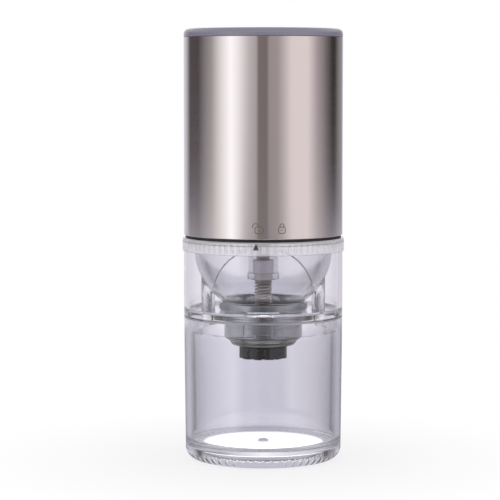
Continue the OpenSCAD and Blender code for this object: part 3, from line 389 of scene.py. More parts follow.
# %% Finishes: the parts that every material shares
def finish(name, colour, roughness, **numbers):
    """A new material and its tree, shader and point socket. numbers are shader sockets' values."""
    material, tree = new_material(name)
    settings = {"Base Color": linear(colour), "Roughness": roughness}
    for key, value in numbers.items():
        settings[key.replace("_", " ").title().replace("Ior", "IOR")] = value
    shader = add(tree, "ShaderNodeBsdfPrincipled", inputs=settings)
    add(tree, "ShaderNodeOutputMaterial", inputs={"Surface": shader})
    point = add(tree, "ShaderNodeTexCoord").outputs["Object"]
    return material, tree, shader, point


def grain(tree, point, size_mm, detail=2.0, stretch=(1, 1, 1)):
    """Noise with features of about size_mm, each axis stretched by its own number."""
    per_metre = [1 / (size_mm * MM * share) for share in stretch]
    mapped = add(tree, "ShaderNodeMapping", inputs={"Vector": point, "Scale": per_metre})
    sizes = {"Vector": mapped, "Scale": 1.0, "Detail": detail}
    return add(tree, "ShaderNodeTexNoise", inputs=sizes).outputs[0]


NOISE_LOW, NOISE_HIGH = 0.3, 0.7  # most of a noise's values lie between these


def vary_roughness(tree, shader, pattern, low, high):
    """Roughness that follows the pattern from low to high."""
    span = {"Value": pattern, "From Min": NOISE_LOW, "From Max": NOISE_HIGH}
    span = add(tree, RANGE, inputs={**span, "To Min": low, "To Max": high})
    tree.links.new(span.outputs[0], shader.inputs["Roughness"])


def vary_colour(tree, shader, pattern, low, high):
    """Base colour that follows the pattern from one hex colour to the other."""
    mixed = add(tree, "ShaderNodeMix", MIX, {0: pattern, 6: linear(low), 7: linear(high)})
    tree.links.new(mixed.outputs[2], shader.inputs["Base Color"])


def tilt(tree, shader, pattern, depth_mm, soft_edge_mm=0):
    """Bumps the surface by the pattern, depth_mm from low to high, and softens its edges."""
    bump = add(tree, "ShaderNodeBump", inputs={"Height": pattern, "Distance": depth_mm * MM})
    if soft_edge_mm:
        edge = add(tree, "ShaderNodeBevel", {"samples": 4}, {"Radius": soft_edge_mm * MM})
        tree.links.new(edge.outputs[0], bump.inputs["Normal"])
    tree.links.new(bump.outputs["Normal"], shader.inputs["Normal"])


def let_light_in(tree, shader, tint):
    """Light on its way to or from a matt surface goes straight on, tinted, as in thin walls."""
    path = add(tree, "ShaderNodeLightPath")
    shadow, matt = path.outputs["Is Shadow Ray"], path.outputs["Is Diffuse Ray"]
    is_light = add(tree, MATH, LARGER, {0: shadow, 1: matt})
    open_way = add(tree, "ShaderNodeBsdfTransparent", inputs={"Color": linear(tint)})
    both = add(tree, "ShaderNodeMixShader", inputs={0: is_light, 1: shader, 2: open_way})
    tree.links.new(both.outputs[0], tree.nodes["Material Output"].inputs["Surface"])


finishes = {}
print("finish helpers ready")

# %% [markdown]
# ### Clear moulded plastic
# The hopper, the bowl and the cup are a clear styrene plastic, injected against polished steel.
# It bends light more than acrylic does, so its rims sparkle. Its walls are never optically
# flat: the melt sets in slow waves, which make reflections swim a little. The collar's fine
# flutes scatter light, and the cap is clouded with a violet grey pigment.

# %% Clear plastics
CLEAR_IOR = 1.57
WAVES_MM, HAZE_MM = 9, 2.5  # the melt's slow waves, and patches of faint haze
CLEAR_TINT = "#f4f3f6"  # what one wall takes from the light
CLEAR = {
    # finish: (material, colour, roughness, share that is clear)
    # Bright edges, and things behind it bent but sharp
    "clear_plastic": ("moulded_clear_styrene", "#fbfbfd", 0.02, 1.0),
    # A third of the light comes back white, so that the flutes stand out
    "pale_clear_plastic": ("moulded_pale_styrene", "#fefcff", 0.04, 0.7),
    # Depth without a view of what lies under it
    "smoky_clear_plastic": ("moulded_smoky_styrene", "#a3a0b2", 0.06, 0.4),
}
for finish_name, (name, colour, rough, clear) in CLEAR.items():
    material, tree, shader, point = finish(
        name, colour, rough, ior=CLEAR_IOR, transmission_weight=clear
    )
    waves = grain(tree, point, WAVES_MM, detail=1.0)
    tilt(tree, shader, waves, 0.02, soft_edge_mm=0.3)
    haze = grain(tree, point, HAZE_MM)
    vary_roughness(tree, shader, haze, rough * 0.6, rough * 1.6)
    if clear > 0.5:
        let_light_in(tree, shader, CLEAR_TINT)
    finishes[finish_name] = material
print("clear:", len(CLEAR))

# %% [markdown]
# ### Satin stainless steel
# The sleeve is stainless tube, brushed round and round with a fine belt. The lines are finer
# than the eye resolves, so what shows is a satin mirror: reflections stay sharp across the
# brushing and smear along the height.

# %% Satin stainless steel
material, tree, shader, point = finish(
    "brushed_stainless_steel", "#e0dbdc", 0.12, metallic=1.0, anisotropic=0.85
)
BELT_MM, LINE_LENGTH = 0.12, 250  # a line's width, as coarse as it needs to show, and its length
lines = grain(tree, point, BELT_MM, detail=3.0, stretch=(LINE_LENGTH, LINE_LENGTH, 1))
vary_roughness(tree, shader, lines, 0.1, 0.145)
tilt(tree, shader, lines, 0.0006)
round_z = add(tree, "ShaderNodeTangent", {"direction_type": "RADIAL", "axis": "Z"})
tree.links.new(round_z.outputs[0], shader.inputs["Tangent"])
shader.inputs["Anisotropic Rotation"].default_value = 0.25
finishes["brushed_stainless"] = material
print("steel nodes:", len(tree.nodes))

# %% [markdown]
# ### Moulded plastics and rubbers
# Matt plastics carry the fine texture of a spark-eroded mould, which scatters light in tiny
# facets. Silicone is softer to the eye: it has no facets, only a slow bloom.

# %% Moulded plastics and rubbers
MOULDED = {
    # slot: (material, colour low, colour high, roughness low, high, texture mm, depth mm)
    # Deep and matt, so that the housing's inside stays quiet
    "black_plastic": ("moulded_black_abs", "#17171a", "#1e1e22", 0.38, 0.52, 0.18, 0.008),
    # A cool, even grey with a soft sheen
    "grey_plastic": ("moulded_grey_abs", "#6f747c", "#7b8089", 0.34, 0.48, 0.22, 0.008),
    # Waxy off-white, a little cloudy
    "white_nylon": ("moulded_white_nylon", "#dfdbd2", "#e9e6de", 0.38, 0.55, 0.35, 0.008),
    # A dry black that shows each edge of a small part
    "switch_plastic": ("moulded_black_pbt", "#1b1b1c", "#242426", 0.4, 0.5, 0.2, 0.006),
    # No sparkle at all, only a slow bloom
    "black_silicone": ("moulded_black_silicone", "#121214", "#18181b", 0.5, 0.62, 0.6, 0.006),
    # Glossy film with slow ripples, drawn tight over a cell
    "battery_wrap": ("shrunk_blue_film", "#20408c", "#2b4d9b", 0.18, 0.3, 1.6, 0.02),
    # A lavender grey that reads as one with the smoky cap above it
    "panel_grey": ("moulded_lavender_abs", "#a2a2b4", "#a8a8ba", 0.3, 0.4, 0.3, 0.004),
    # Polished for the fingers, so it has sharp small highlights
    "dial_black": ("polished_black_acetal", "#15131b", "#1b1922", 0.2, 0.3, 0.3, 0.006),
    # Smooth and slightly green, between the silver housing and the black dial
    "retainer_grey": ("moulded_green_grey_acetal", "#474a46", "#4e514d", 0.18, 0.28, 0.3, 0.006),
    # Solder mask: glossy, with the weave of the glass just felt
    "board_laminate": ("masked_glass_epoxy", "#0d4a2c", "#145a37", 0.2, 0.34, 0.5, 0.01),
}
CLOUD_SIZE = 12  # the colour's clouds, in sizes of the texture
for slot_name, (name, low, high, smooth, rough, size, depth) in MOULDED.items():
    material, tree, shader, point = finish(name, low, smooth)
    texture = grain(tree, point, size, detail=3.0)
    vary_roughness(tree, shader, texture, smooth, rough)
    tilt(tree, shader, texture, depth)
    vary_colour(tree, shader, grain(tree, point, size * CLOUD_SIZE), low, high)
    finishes[slot_name] = material
print("moulded:", len(MOULDED))

# %% [markdown]
# ### Milky clear parts
# The seal ring is translucent silicone, the ring round the button is a frosted light guide, and
# the drive coupler is frosted nylon. Light goes in, scatters and comes out soft, so these are
# part clear, part matt. The round edge of the bridge's arch is clear plastic that scatters too;
# its grey colour is painted shade, in place of the dark line that its refraction draws.

# %% Milky clear parts
MILKY = {
    # finish: (material, colour, roughness, share that is clear, IOR)
    # Soft and colourless, like an icicle
    "clear_silicone": ("moulded_clear_silicone", "#eeeef0", 0.35, 0.75, 1.41),
    # Glows evenly, with no view into it
    "light_guide": ("frosted_acrylic", "#f2f2f4", 0.45, 0.55, 1.49),
    # Nearly white, with a faint depth
    "frosted_nylon": ("frosted_white_nylon", "#fffafb", 0.4, 0.02, 1.53),
    # Frosted, with a painted grey shade that draws the arch as one thin grey line
    "frosted_edge_painted_shade": ("frosted_styrene_edge_painted_shade", "#a5a2ad", 0.3, 0.6, 1.57),
}
for finish_name, (name, colour, rough, clear, index) in MILKY.items():
    material, tree, shader, point = finish(
        name, colour, rough, ior=index, transmission_weight=clear
    )
    cloud = grain(tree, point, 1.2)
    vary_roughness(tree, shader, cloud, rough * 0.8, rough * 1.25)
    tilt(tree, shader, cloud, 0.01)
    finishes[finish_name] = material
print("milky:", len(MILKY))

# %% [markdown]
# ### Ceramic burrs
# The burrs are sintered zirconia. It is cream white, hard and unglazed, with the pressed
# powder's fine pits and a low sheen on its cutting edges.

# %% Ceramic burrs
material, tree, shader, point = finish("sintered_zirconia", "#e9e5da", 0.36, ior=2.1)
pits = grain(tree, point, 0.3, detail=4.0)
vary_roughness(tree, shader, pits, 0.3, 0.46)
tilt(tree, shader, pits, 0.012)
vary_colour(tree, shader, grain(tree, point, 4), "#e2ddd0", "#efece3")
finishes["white_ceramic"] = material
print("ceramic ready")

# %% [markdown]
# ### Turned, drawn and plated metals
# Small metal parts differ in colour and in how their surface was made: a turning tool leaves
# fine rings, drawing leaves lines along the wire, plating leaves a soft orange peel.

# %% Small metals
RINGS, DRAWN, PLAIN = (30, 30, 1), (1, 1, 6), (1, 1, 1)  # how far marks stretch along x, y and z
METALS = {
    # finish: (material, colour, roughness low, high, pattern mm, stretch, depth mm)
    # Bright warm wire whose turns each carry a line of light
    "spring_steel": ("drawn_spring_steel", "#c4bab3", 0.12, 0.2, 0.25, PLAIN, 0.004),
    # Fine rings round the axis, neither bright nor dull
    "machined_steel": ("turned_steel", "#a9a6a6", 0.2, 0.32, 0.16, RINGS, 0.004),
    # A cool mirror that shows the bands of the studio
    "silver_housing": ("metallised_abs", "#989ca3", 0.08, 0.15, 0.3, RINGS, 0.002),
    # Painted almost black, as painted shade for the dark reflection it shows, with a brown cast in
    # the highlight
    "shaft_painted_dark": ("steel_painted_dark", "#3a3430", 0.2, 0.3, 0.16, RINGS, 0.004),
    # Pale and bluish, with a soft orange peel
    "zinc_plated_steel": ("zinc_plated_steel", "#d3d5dc", 0.16, 0.3, 0.6, PLAIN, 0.006),
    # Even silver with faint draw marks along the can
    "plated_steel_can": ("nickel_plated_steel", "#cfcfd1", 0.18, 0.3, 1.2, DRAWN, 0.006),
    # Dull and open-pored, because oil sits in it
    "sintered_bronze": ("sintered_bronze", "#b08a5c", 0.36, 0.55, 0.25, PLAIN, 0.012),
    # Yellow, with the turning tool's rings
    "brass": ("turned_brass", "#d9bd82", 0.18, 0.3, 0.2, (20, 20, 1), 0.004),
    # Silky, with no direction to its shine
    "button_metal": ("blasted_aluminium", "#d5d5d8", 0.24, 0.34, 0.15, PLAIN, 0.003),
}
for finish_name, (name, colour, smooth, rough, size, stretch, depth) in METALS.items():
    material, tree, shader, point = finish(name, colour, smooth, metallic=1.0)
    marks = grain(tree, point, size, detail=3.0, stretch=stretch)
    vary_roughness(tree, shader, marks, smooth, rough)
    tilt(tree, shader, marks, depth, soft_edge_mm=0.25)
    finishes[finish_name] = material
print("metals:", len(METALS))

# %% [markdown]
# ## Dress the CAD nodes
# The CAD record says which material slot each node has, so each node gets that slot's finish.
# A few nodes share their slot's stuff but look different for their own reason, such as the burr
# housing, whose grey plastic is metallised to a silver shine.

# %% Dress the CAD nodes
OWN_FINISH = {
    "burr_housing": "silver_housing",
    "burr_retainer": "retainer_grey",
    "grind_dial": "dial_black",
    "top_panel": "panel_grey",
    "collar": "pale_clear_plastic",
    "drive_coupler": "frosted_nylon",
    # The mill shaft's nearly black colour is painted shade
    "mill_shaft": "shaft_painted_dark",
}
for row in frame["record"]["subparts"]:
    mesh = nodes[row["node"]].data
    mesh.materials.clear()
    mesh.materials.append(finishes[OWN_FINISH.get(row["node"], row["material_slot"])])

# %% [markdown]
# ## The bridge's round edge
# A clear web crosses the bowl and carries the shaft's tube. Its arch is moulded with a full
# round edge, and that round, not the flat web, is what shows: it bends the light far aside and
# draws a thin grey line, which the round's material paints in as a grey shade. So a copy of the
# web gets a real bevel along the arch. A Bevel modifier would round every corner, so the arch's
# own edges are picked by where they face.

# %% The bridge with its rounded arch
import bmesh
from mathutils import Vector

ARCH_R = 22.4 * MM
ARCH_ROUND, ROUND_STEPS = 0.65 * MM, 5
WEB_HALF = 0.81 * MM  # half the web's thickness, and a hair
ARCH_CENTRE_UP = 0.9 * MM  # the arch's centre lies this far above the mill's top
FACES_FRONT, FACES_ALONG = 0.99, 0.05  # a normal's y on the web's flat side, and on its edge
WELD, SPECK = 0.002 * MM, 0.001 * MM  # points this near become one, and edges this short go
SAME_PLANE, SHARP = math.radians(0.5), math.radians(30)

arch_centre = Vector((0, 0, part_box("burr_housing")[1].z + ARCH_CENTRE_UP))


def from_arch(point):
    """The way from the arch's axis to a point, square to the axis."""
    way = point - arch_centre
    way.y = 0
    return way


mesh = nodes["bridge"].data.copy()
mesh.name = "rounded_bridge"
shape = bmesh.new()
shape.from_mesh(mesh)
bmesh.ops.remove_doubles(shape, verts=shape.verts, dist=WELD)
bmesh.ops.dissolve_limit(shape, angle_limit=SAME_PLANE, verts=shape.verts, edges=shape.edges)
rim = []
for edge in shape.edges:
    if len(edge.link_faces) != 2:
        continue
    side, inner = (face.normal for face in edge.link_faces)
    if abs(side.y) < abs(inner.y):
        side, inner = inner, side
    way = from_arch((edge.verts[0].co + edge.verts[1].co) / 2)
    turned_right = abs(side.y) > FACES_FRONT and abs(inner.y) < FACES_ALONG
    if turned_right and inner.dot(way) < -0.5 * way.length:
        rim.append(edge)
bmesh.ops.bevel(
    shape, geom=rim, offset=ARCH_ROUND, segments=ROUND_STEPS, profile=0.5, affect="EDGES",
    clamp_overlap=False,
)
shape.normal_update()
# The round's faces get the second material, whose grey colour is painted shade for its refraction
# line
for face in shape.faces:  # the round itself is the second material
    way = from_arch(face.calc_center_median())
    on_round = abs(way.length - ARCH_R) < 0.9 * MM
    face.material_index = int(on_round and face.normal.dot(way) < -0.1 * way.length)
bmesh.ops.dissolve_degenerate(shape, dist=SPECK, edges=shape.edges)
bmesh.ops.triangulate(shape, faces=shape.faces)
open_edges = sum(len(edge.link_faces) != 2 for edge in shape.edges)
shape.to_mesh(mesh)
shape.free()
mesh.attributes.remove(mesh.attributes["custom_normal"])  # they are the old surface's
mesh.shade_smooth()
mesh.set_sharp_from_angle(angle=SHARP)
for face in mesh.polygons:  # the web's flat sides stay flat up to the round
    face.use_smooth = abs(face.normal.y) < 0.999 or abs(face.center.y) > WEB_HALF
# The second material paints the round's refraction line as a grey shade
mesh.materials.append(finishes["frosted_edge_painted_shade"])
rounded_bridge = put("rounded_bridge", mesh)
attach(rounded_bridge, "hopper")
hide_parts("bridge")
print("bridge rim edges:", len(rim), "open edges:", open_edges, "faces:", len(mesh.polygons))

# %% [markdown]
# ## The gate mark
# The melt enters the cup's mould in the middle of its floor and leaves a small frosted dome
# there. A lens shape is a profile spun round the axis, built here ring by ring.

# %% The gate mark
GATE_R, GATE_H, GATE_RINGS, GATE_POINTS = 2.4 * MM, 1.0 * MM, 6, 40
CUP_FLOOR_Z, GATE_FOOT = 7.4 * MM, 0.01 * MM  # its underside just clears the cup's floor

material, tree, shader, point = finish(
    "frosted_styrene_gate", "#f2f1f4", 0.5, ior=CLEAR_IOR, transmission_weight=0.1
)
speckle = grain(tree, point, 0.25)
vary_roughness(tree, shader, speckle, 0.42, 0.58)
tilt(tree, shader, speckle, 0.02)

corners = []
for ring in range(GATE_RINGS):
    share = ring / GATE_RINGS  # 0 at the rim, towards 1 at the crown
    radius = GATE_R * math.cos(share * math.pi / 2)
    height = CUP_FLOOR_Z + GATE_H * math.sin(share * math.pi / 2)
    for k in range(GATE_POINTS):
        turn = k * math.tau / GATE_POINTS
        corners.append((radius * math.cos(turn), radius * math.sin(turn), height))
corners += [(0, 0, CUP_FLOOR_Z + GATE_H), (0, 0, CUP_FLOOR_Z + GATE_FOOT)]
crown, base = len(corners) - 2, len(corners) - 1
faces = []
for k in range(GATE_POINTS):
    n = (k + 1) % GATE_POINTS
    for ring in range(GATE_RINGS - 1):
        low_row, high_row = ring * GATE_POINTS, (ring + 1) * GATE_POINTS
        faces.append([low_row + k, low_row + n, high_row + n, high_row + k])
    top_row = (GATE_RINGS - 1) * GATE_POINTS
    faces += [[top_row + k, top_row + n, crown], [n, k, base]]
gate_mesh = bpy.data.meshes.new("gate_mark")
gate_mesh.from_pydata(corners, [], faces)
gate_mesh.shade_smooth()
gate_mesh.set_sharp_from_angle(angle=math.radians(50))
gate_mesh.materials.append(material)
gate_mark = put("gate_mark", gate_mesh)
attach(gate_mark, "cup")
print("gate mark faces:", len(faces))

# %% [markdown]
# ## Pieces that follow a rule
# A spring, a screw thread and an etched line each follow a rule, so Geometry Nodes make them:
# the tree holds the rule, and its named inputs hold the sizes. The result is turned into a
# plain mesh.

# %% A tree with named sizes, and the piece that it makes
SOCKETS = {"float": "NodeSocketFloat", "whole": "NodeSocketInt", "stuff": "NodeSocketMaterial"}


def sized_tree(name, **kinds):
    """An empty Geometry Nodes tree with a geometry input and the named inputs."""
    tree = bpy.data.node_groups.new(name, "GeometryNodeTree")
    tree.interface.new_socket("Geometry", in_out="INPUT", socket_type="NodeSocketGeometry")
    for label, kind in kinds.items():
        tree.interface.new_socket(label, in_out="INPUT", socket_type=SOCKETS[kind])
    tree.interface.new_socket("Geometry", in_out="OUTPUT", socket_type="NodeSocketGeometry")
    return tree, add(tree, "NodeGroupInput").outputs


def end_tree(tree, geometry, stuff):
    """Every tree ends alike: instances made real, the material set, the result handed out."""
    real = add(tree, "GeometryNodeRealizeInstances", inputs={0: geometry})
    dressed = add(tree, "GeometryNodeSetMaterial", inputs={"Geometry": real, "Material": stuff})
    add(tree, "NodeGroupOutput", inputs={0: dressed})


def grow(name, tree, start=None, **sizes):
    """A piece with the mesh that the tree makes out of the start mesh and the sizes."""
    piece = put(name, start or bpy.data.meshes.new(name))
    maker = piece.modifiers.new("maker", "NODES")
    maker.node_group = tree
    for socket in tree.interface.items_tree:
        if socket.in_out == "INPUT" and socket.name in sizes:
            maker[socket.identifier] = sizes[socket.name]
    graph = bpy.context.evaluated_depsgraph_get()
    mesh = bpy.data.meshes.new_from_object(piece.evaluated_get(graph))
    piece.modifiers.remove(maker)
    piece.data = mesh
    mesh.name = name
    print(name, "faces:", len(mesh.polygons))
    return piece


# %% [markdown]
# ### Coil springs
# The burr spring presses the cone down on its setting, and a finer one lifts the power button.
# A coil could be a Screw modifier or a bent curve. Here a line of points is wound up by its
# index: the first and the last turn climb by one wire, so that the ends lie flat, and the
# turns between share the rest of the height.

# %% Coil springs: the tree
tree, size = sized_tree(
    "coil_spring",
    radius="float", wire="float", height="float", foot="float",
    turns="float", steps="whole", sides="whole", stuff="stuff",
)
points = add(tree, MATH, TIMES_PLUS, {0: size["turns"], 1: size["steps"], 2: 1.0})
line = add(tree, "GeometryNodeMeshLine", inputs={"Count": points})
path = add(tree, "GeometryNodeMeshToCurve", inputs={0: line})
index = add(tree, "GeometryNodeInputIndex")
turn = add(tree, MATH, OVER, {0: index, 1: size["steps"]})
last = add(tree, MATH, MINUS, {0: size["turns"], 1: 1.0})
# The wire's centre climbs the height less one wire, and the two flat turns take one wire each
climb = add(tree, MATH, TIMES_PLUS, {0: size["wire"], 1: -3.0, 2: size["height"]})
half_wire = add(tree, MATH, TIMES, {0: size["wire"], 1: 0.5})
rise = add(tree, MATH, PLUS, {0: size["foot"], 1: half_wire})
for begin, end, share in (
    (0.0, 1.0, size["wire"]), (1.0, last, climb), (last, size["turns"], size["wire"]),
):
    span = {"Value": turn, "From Min": begin, "From Max": end, "To Max": share}
    rise = add(tree, MATH, PLUS, {0: rise, 1: add(tree, RANGE, inputs=span)})
angle = add(tree, MATH, TIMES, {0: turn, 1: math.tau})
east = add(tree, MATH, COSINE, {0: angle})
north = add(tree, MATH, SINE, {0: angle})
east = add(tree, MATH, TIMES, {0: east, 1: size["radius"]})
north = add(tree, MATH, TIMES, {0: north, 1: size["radius"]})
place = add(tree, "ShaderNodeCombineXYZ", inputs={0: east, 1: north, 2: rise})
coil = add(tree, "GeometryNodeSetPosition", inputs={"Geometry": path, "Position": place})
wire_round = {"Resolution": size["sides"], "Radius": half_wire}
section = add(tree, "GeometryNodeCurvePrimitiveCircle", inputs=wire_round)
tube = {"Curve": coil, "Profile Curve": section, "Fill Caps": True}
tube = add(tree, "GeometryNodeCurveToMesh", inputs=tube)
tube = add(tree, "GeometryNodeSetShadeSmooth", inputs={0: tube})
end_tree(tree, tube, size["stuff"])
print("coil nodes:", len(tree.nodes))

# %% [markdown]
# The solids of the two springs give the coils their room: the box's width is the coil's outside
# and its height is the spring's length at rest.

# %% Coil springs: the two pieces
for node_name, moving_body, seat_body, wire, turns in (
    ("burr_spring", "cone", "mill", 0.9, 9),
    ("button_spring", "button", "motor_unit", 0.3, 4),
):
    low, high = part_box(node_name)
    spring = grow(
        "coiled_" + node_name,
        tree,
        radius=high.x - wire / 2 * MM,
        wire=wire * MM,
        height=high.z - low.z,
        foot=low.z,
        turns=float(turns),
        steps=32,
        sides=12,
        stuff=finishes["spring_steel"],
    )
    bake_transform(spring)
    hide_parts(node_name)

# %% [markdown]
# ### Hopper screws
# Two self-tapping screws hold the bowl down, and their threads glitter inside the clear
# bosses. A thread is a ridge that goes round once for each pitch. So a plain cylinder's points
# are pushed out by how far they are, in height and in turn, from the nearest crest.

# %% Hopper screws: the threaded shank
def reshape(tree, drum, here, girth, height):
    """Pushes the points of a cylinder of radius 1 out by girth and lifts them to height."""
    x, y = (add(tree, MATH, TIMES, {0: here.outputs[k], 1: girth}) for k in (0, 1))
    place = add(tree, "ShaderNodeCombineXYZ", inputs={0: x, 1: y, 2: height})
    moved = {"Geometry": drum.outputs["Mesh"], "Position": place}
    return add(tree, "GeometryNodeSetPosition", inputs=moved)


FLANK_FROM, FLANK_TO = 0.12, 0.45  # where the ridge's flank starts and ends, in pitches
TIP_LENGTH, TIP_SHARE = 1.5, 0.2  # the taper's length in crest radii, and what is left of them
tree, size = sized_tree(
    "threaded_screw",
    crest="float", core="float", length="float", pitch="float",
    head="float", head_height="float", seat="float", rings="whole", stuff="stuff",
)
rod = {"Vertices": 24, "Side Segments": size["rings"], "Radius": 1.0, "Depth": size["length"]}
rod = add(tree, "GeometryNodeMeshCylinder", inputs=rod)
here = add(tree, "ShaderNodeSeparateXYZ", inputs={0: add(tree, "GeometryNodeInputPosition")})
along = add(tree, MATH, TIMES_PLUS, {0: size["length"], 1: 0.5, 2: here.outputs[2]})
turn = add(tree, MATH, ARC, {0: here.outputs[1], 1: here.outputs[0]})
turn = add(tree, MATH, OVER, {0: turn, 1: math.tau})
pitches = add(tree, MATH, OVER, {0: along, 1: size["pitch"]})
phase = add(tree, MATH, MINUS, {0: pitches, 1: turn})
ridge = add(tree, MATH, TO_AND_FRO, {0: phase, 1: 0.5})
flank = {"Value": ridge, "From Min": FLANK_FROM, "From Max": FLANK_TO}
flank = {**flank, "To Min": size["core"], "To Max": size["crest"]}
girth = add(tree, RANGE, inputs=flank)
tip_from = add(tree, MATH, TIMES_PLUS, {0: size["crest"], 1: -TIP_LENGTH, 2: size["length"]})
tip = {"Value": along, "From Min": tip_from, "From Max": size["length"]}
taper = add(tree, RANGE, inputs={**tip, "To Min": 1.0, "To Max": TIP_SHARE})
girth = add(tree, MATH, TIMES, {0: girth, 1: taper})
height = add(tree, MATH, PLUS, {0: along, 1: size["seat"]})
shank = reshape(tree, rod, here, girth, height)
shank = add(tree, "GeometryNodeSetShadeSmooth", inputs={0: shank})
print("shank nodes:", len(tree.nodes))

# %% [markdown]
# The head is a low pan with a rounded crown and a cross for the driver. A drum gets its crown by
# narrowing towards its outer face. Two flat blades then cut the cross, as a mesh boolean. Blades
# of one depth would share a plane, which leaves an open seam, so one cuts a little less deep.

# %% Hopper screws: the head and its cross
CROWN_FROM, CROWN_TO, CROWN_SHARE = -0.5, -0.1, 0.82  # heights in the drum, width at the face
CROSS_LONG, CROSS_WIDE = 1.2, 0.26  # in head radii
CROSS_DEPTHS = 1.0, 0.93  # the blades' heights, in head heights

drum = {"Vertices": 32, "Side Segments": 6, "Radius": 1.0, "Depth": size["head_height"]}
drum = add(tree, "GeometryNodeMeshCylinder", inputs=drum)
below = add(tree, MATH, OVER, {0: here.outputs[2], 1: size["head_height"]})
crown = {"Value": below, "From Min": CROWN_FROM, "From Max": CROWN_TO}
crown = add(tree, RANGE, inputs={**crown, "To Min": CROWN_SHARE, "To Max": 1.0})
girth = add(tree, MATH, TIMES, {0: crown, 1: size["head"]})
height = add(tree, MATH, TIMES_PLUS, {0: size["head_height"], 1: -0.5, 2: here.outputs[2]})
height = add(tree, MATH, PLUS, {0: height, 1: size["seat"]})
cut = reshape(tree, drum, here, girth, height)
blade_long = add(tree, MATH, TIMES, {0: size["head"], 1: CROSS_LONG})
blade_wide = add(tree, MATH, TIMES, {0: size["head"], 1: CROSS_WIDE})
blade_z = add(tree, MATH, MINUS, {0: size["seat"], 1: size["head_height"]})
blade_place = add(tree, "ShaderNodeCombineXYZ", inputs={2: blade_z})
blade_sides = (blade_long, blade_wide), (blade_wide, blade_long)
for (x, y), depth in zip(blade_sides, CROSS_DEPTHS):
    deep = add(tree, MATH, TIMES, {0: size["head_height"], 1: depth})
    box_size = add(tree, "ShaderNodeCombineXYZ", inputs={0: x, 1: y, 2: deep})
    blade = add(tree, "GeometryNodeMeshCube", inputs={"Size": box_size}).outputs["Mesh"]
    blade = {"Geometry": blade, "Translation": blade_place}
    blade = add(tree, "GeometryNodeTransform", inputs=blade)
    both = {"Mesh 1": cut.outputs[0], "Mesh 2": blade}
    cut = add(tree, "GeometryNodeMeshBoolean", {"operation": "DIFFERENCE"}, both)
both = add(tree, "GeometryNodeJoinGeometry")
tree.links.new(shank.outputs[0], both.inputs[0])
tree.links.new(cut.outputs[0], both.inputs[0])
screws = {"Points": size["Geometry"], "Instance": both}
screws = add(tree, "GeometryNodeInstanceOnPoints", inputs=screws)
end_tree(tree, screws, size["stuff"])
print("screw nodes:", len(tree.nodes))

# %% [markdown]
# The tree sets one screw on each point that it is given. The two points are the bosses' axes,
# which the solid of the screws gives by its width.

# %% Hopper screws: the piece
SCREW_R, SCREW_CORE_R, SCREW_PITCH = 1.2, 0.85, 1.05
SCREW_HEAD_R, SCREW_HEAD_H = 2.4, 1.5
low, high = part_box("hopper_screws")
boss_x = high.x - SCREW_HEAD_R * MM
places = bpy.data.meshes.new("screw_places")
places.from_pydata([(-boss_x, 0, 0), (boss_x, 0, 0)], [], [])
hopper_screws = grow(
    "threaded_hopper_screws",
    tree,
    places,
    crest=SCREW_R * MM,
    core=SCREW_CORE_R * MM,
    length=high.z - low.z - SCREW_HEAD_H * MM,
    pitch=SCREW_PITCH * MM,
    head=SCREW_HEAD_R * MM,
    head_height=SCREW_HEAD_H * MM,
    seat=low.z + SCREW_HEAD_H * MM,
    rings=96,
    stuff=finishes["zinc_plated_steel"],
)
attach(hopper_screws, "hopper")
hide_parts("hopper_screws")

# %% [markdown]
# ### Lock marks
# Two small padlocks are etched into the sleeve: an open one where the twist lock lets go and a
# closed one where it holds. They are drawn flat, as lines, and a tree gives the lines their
# width and wraps them round the sleeve.

# %% Lock marks: the tree that wraps a drawing round the sleeve
FLATTEN = 0.1  # the lines' round section is pressed to this share of its depth
tree, size = sized_tree("etched_line", stroke="float", radius="float", lift="float", stuff="stuff")
path = add(tree, "GeometryNodeMeshToCurve", inputs={0: size["Geometry"]})
half = add(tree, MATH, TIMES, {0: size["stroke"], 1: 0.5})
section = add(tree, "GeometryNodeCurvePrimitiveCircle", inputs={"Resolution": 8, "Radius": half})
line = {"Curve": path, "Profile Curve": section, "Fill Caps": True}
line = add(tree, "GeometryNodeCurveToMesh", inputs=line)
here = add(tree, "ShaderNodeSeparateXYZ", inputs={0: add(tree, "GeometryNodeInputPosition")})
turn = add(tree, MATH, OVER, {0: here.outputs[0], 1: size["radius"]})
flat = add(tree, MATH, TIMES_PLUS, {0: here.outputs[1], 1: -FLATTEN, 2: size["radius"]})
out = add(tree, MATH, PLUS, {0: flat, 1: size["lift"]})
x = add(tree, MATH, SINE, {0: turn})
x = add(tree, MATH, TIMES, {0: x, 1: out})
y = add(tree, MATH, COSINE, {0: turn})
y = add(tree, MATH, TIMES, {0: y, 1: out})
y = add(tree, MATH, TIMES, {0: y, 1: -1.0})
place = add(tree, "ShaderNodeCombineXYZ", inputs={0: x, 1: y, 2: here.outputs[2]})
wrapped = add(tree, "GeometryNodeSetPosition", inputs={"Geometry": line, "Position": place})
end_tree(tree, wrapped, size["stuff"])
wrap_tree = tree
print("wrap nodes:", len(tree.nodes))

# %% [markdown]
# A laser burns the marks into the steel. The burnt lines are tan and dull, so they show dark
# where the steel is bright and nearly vanish where it is dark.

# %% Lock marks: the finish
material, tree, shader, point = finish("laser_etched_steel", "#7c6c55", 0.5, metallic=0.6)
speckle = grain(tree, point, 0.15)
vary_colour(tree, shader, speckle, "#74654f", "#87775f")
tilt(tree, shader, speckle, 0.004)
print("etched:", material.name)

# %% [markdown]
# Each padlock is a body with round corners, a shackle that is an arc, and a short keyhole. The
# open one's shackle stands to the side and ends in the air.

# %% Lock marks: the drawing and the piece
def arc(centre, radius, start_deg, end_deg, steps=10):
    """Points on an arc, in the drawing's flat plane, in mm."""
    turns = [math.radians(start_deg + (end_deg - start_deg) * k / steps) for k in range(steps + 1)]
    return [(centre[0] + radius * math.cos(t), centre[1] + radius * math.sin(t)) for t in turns]


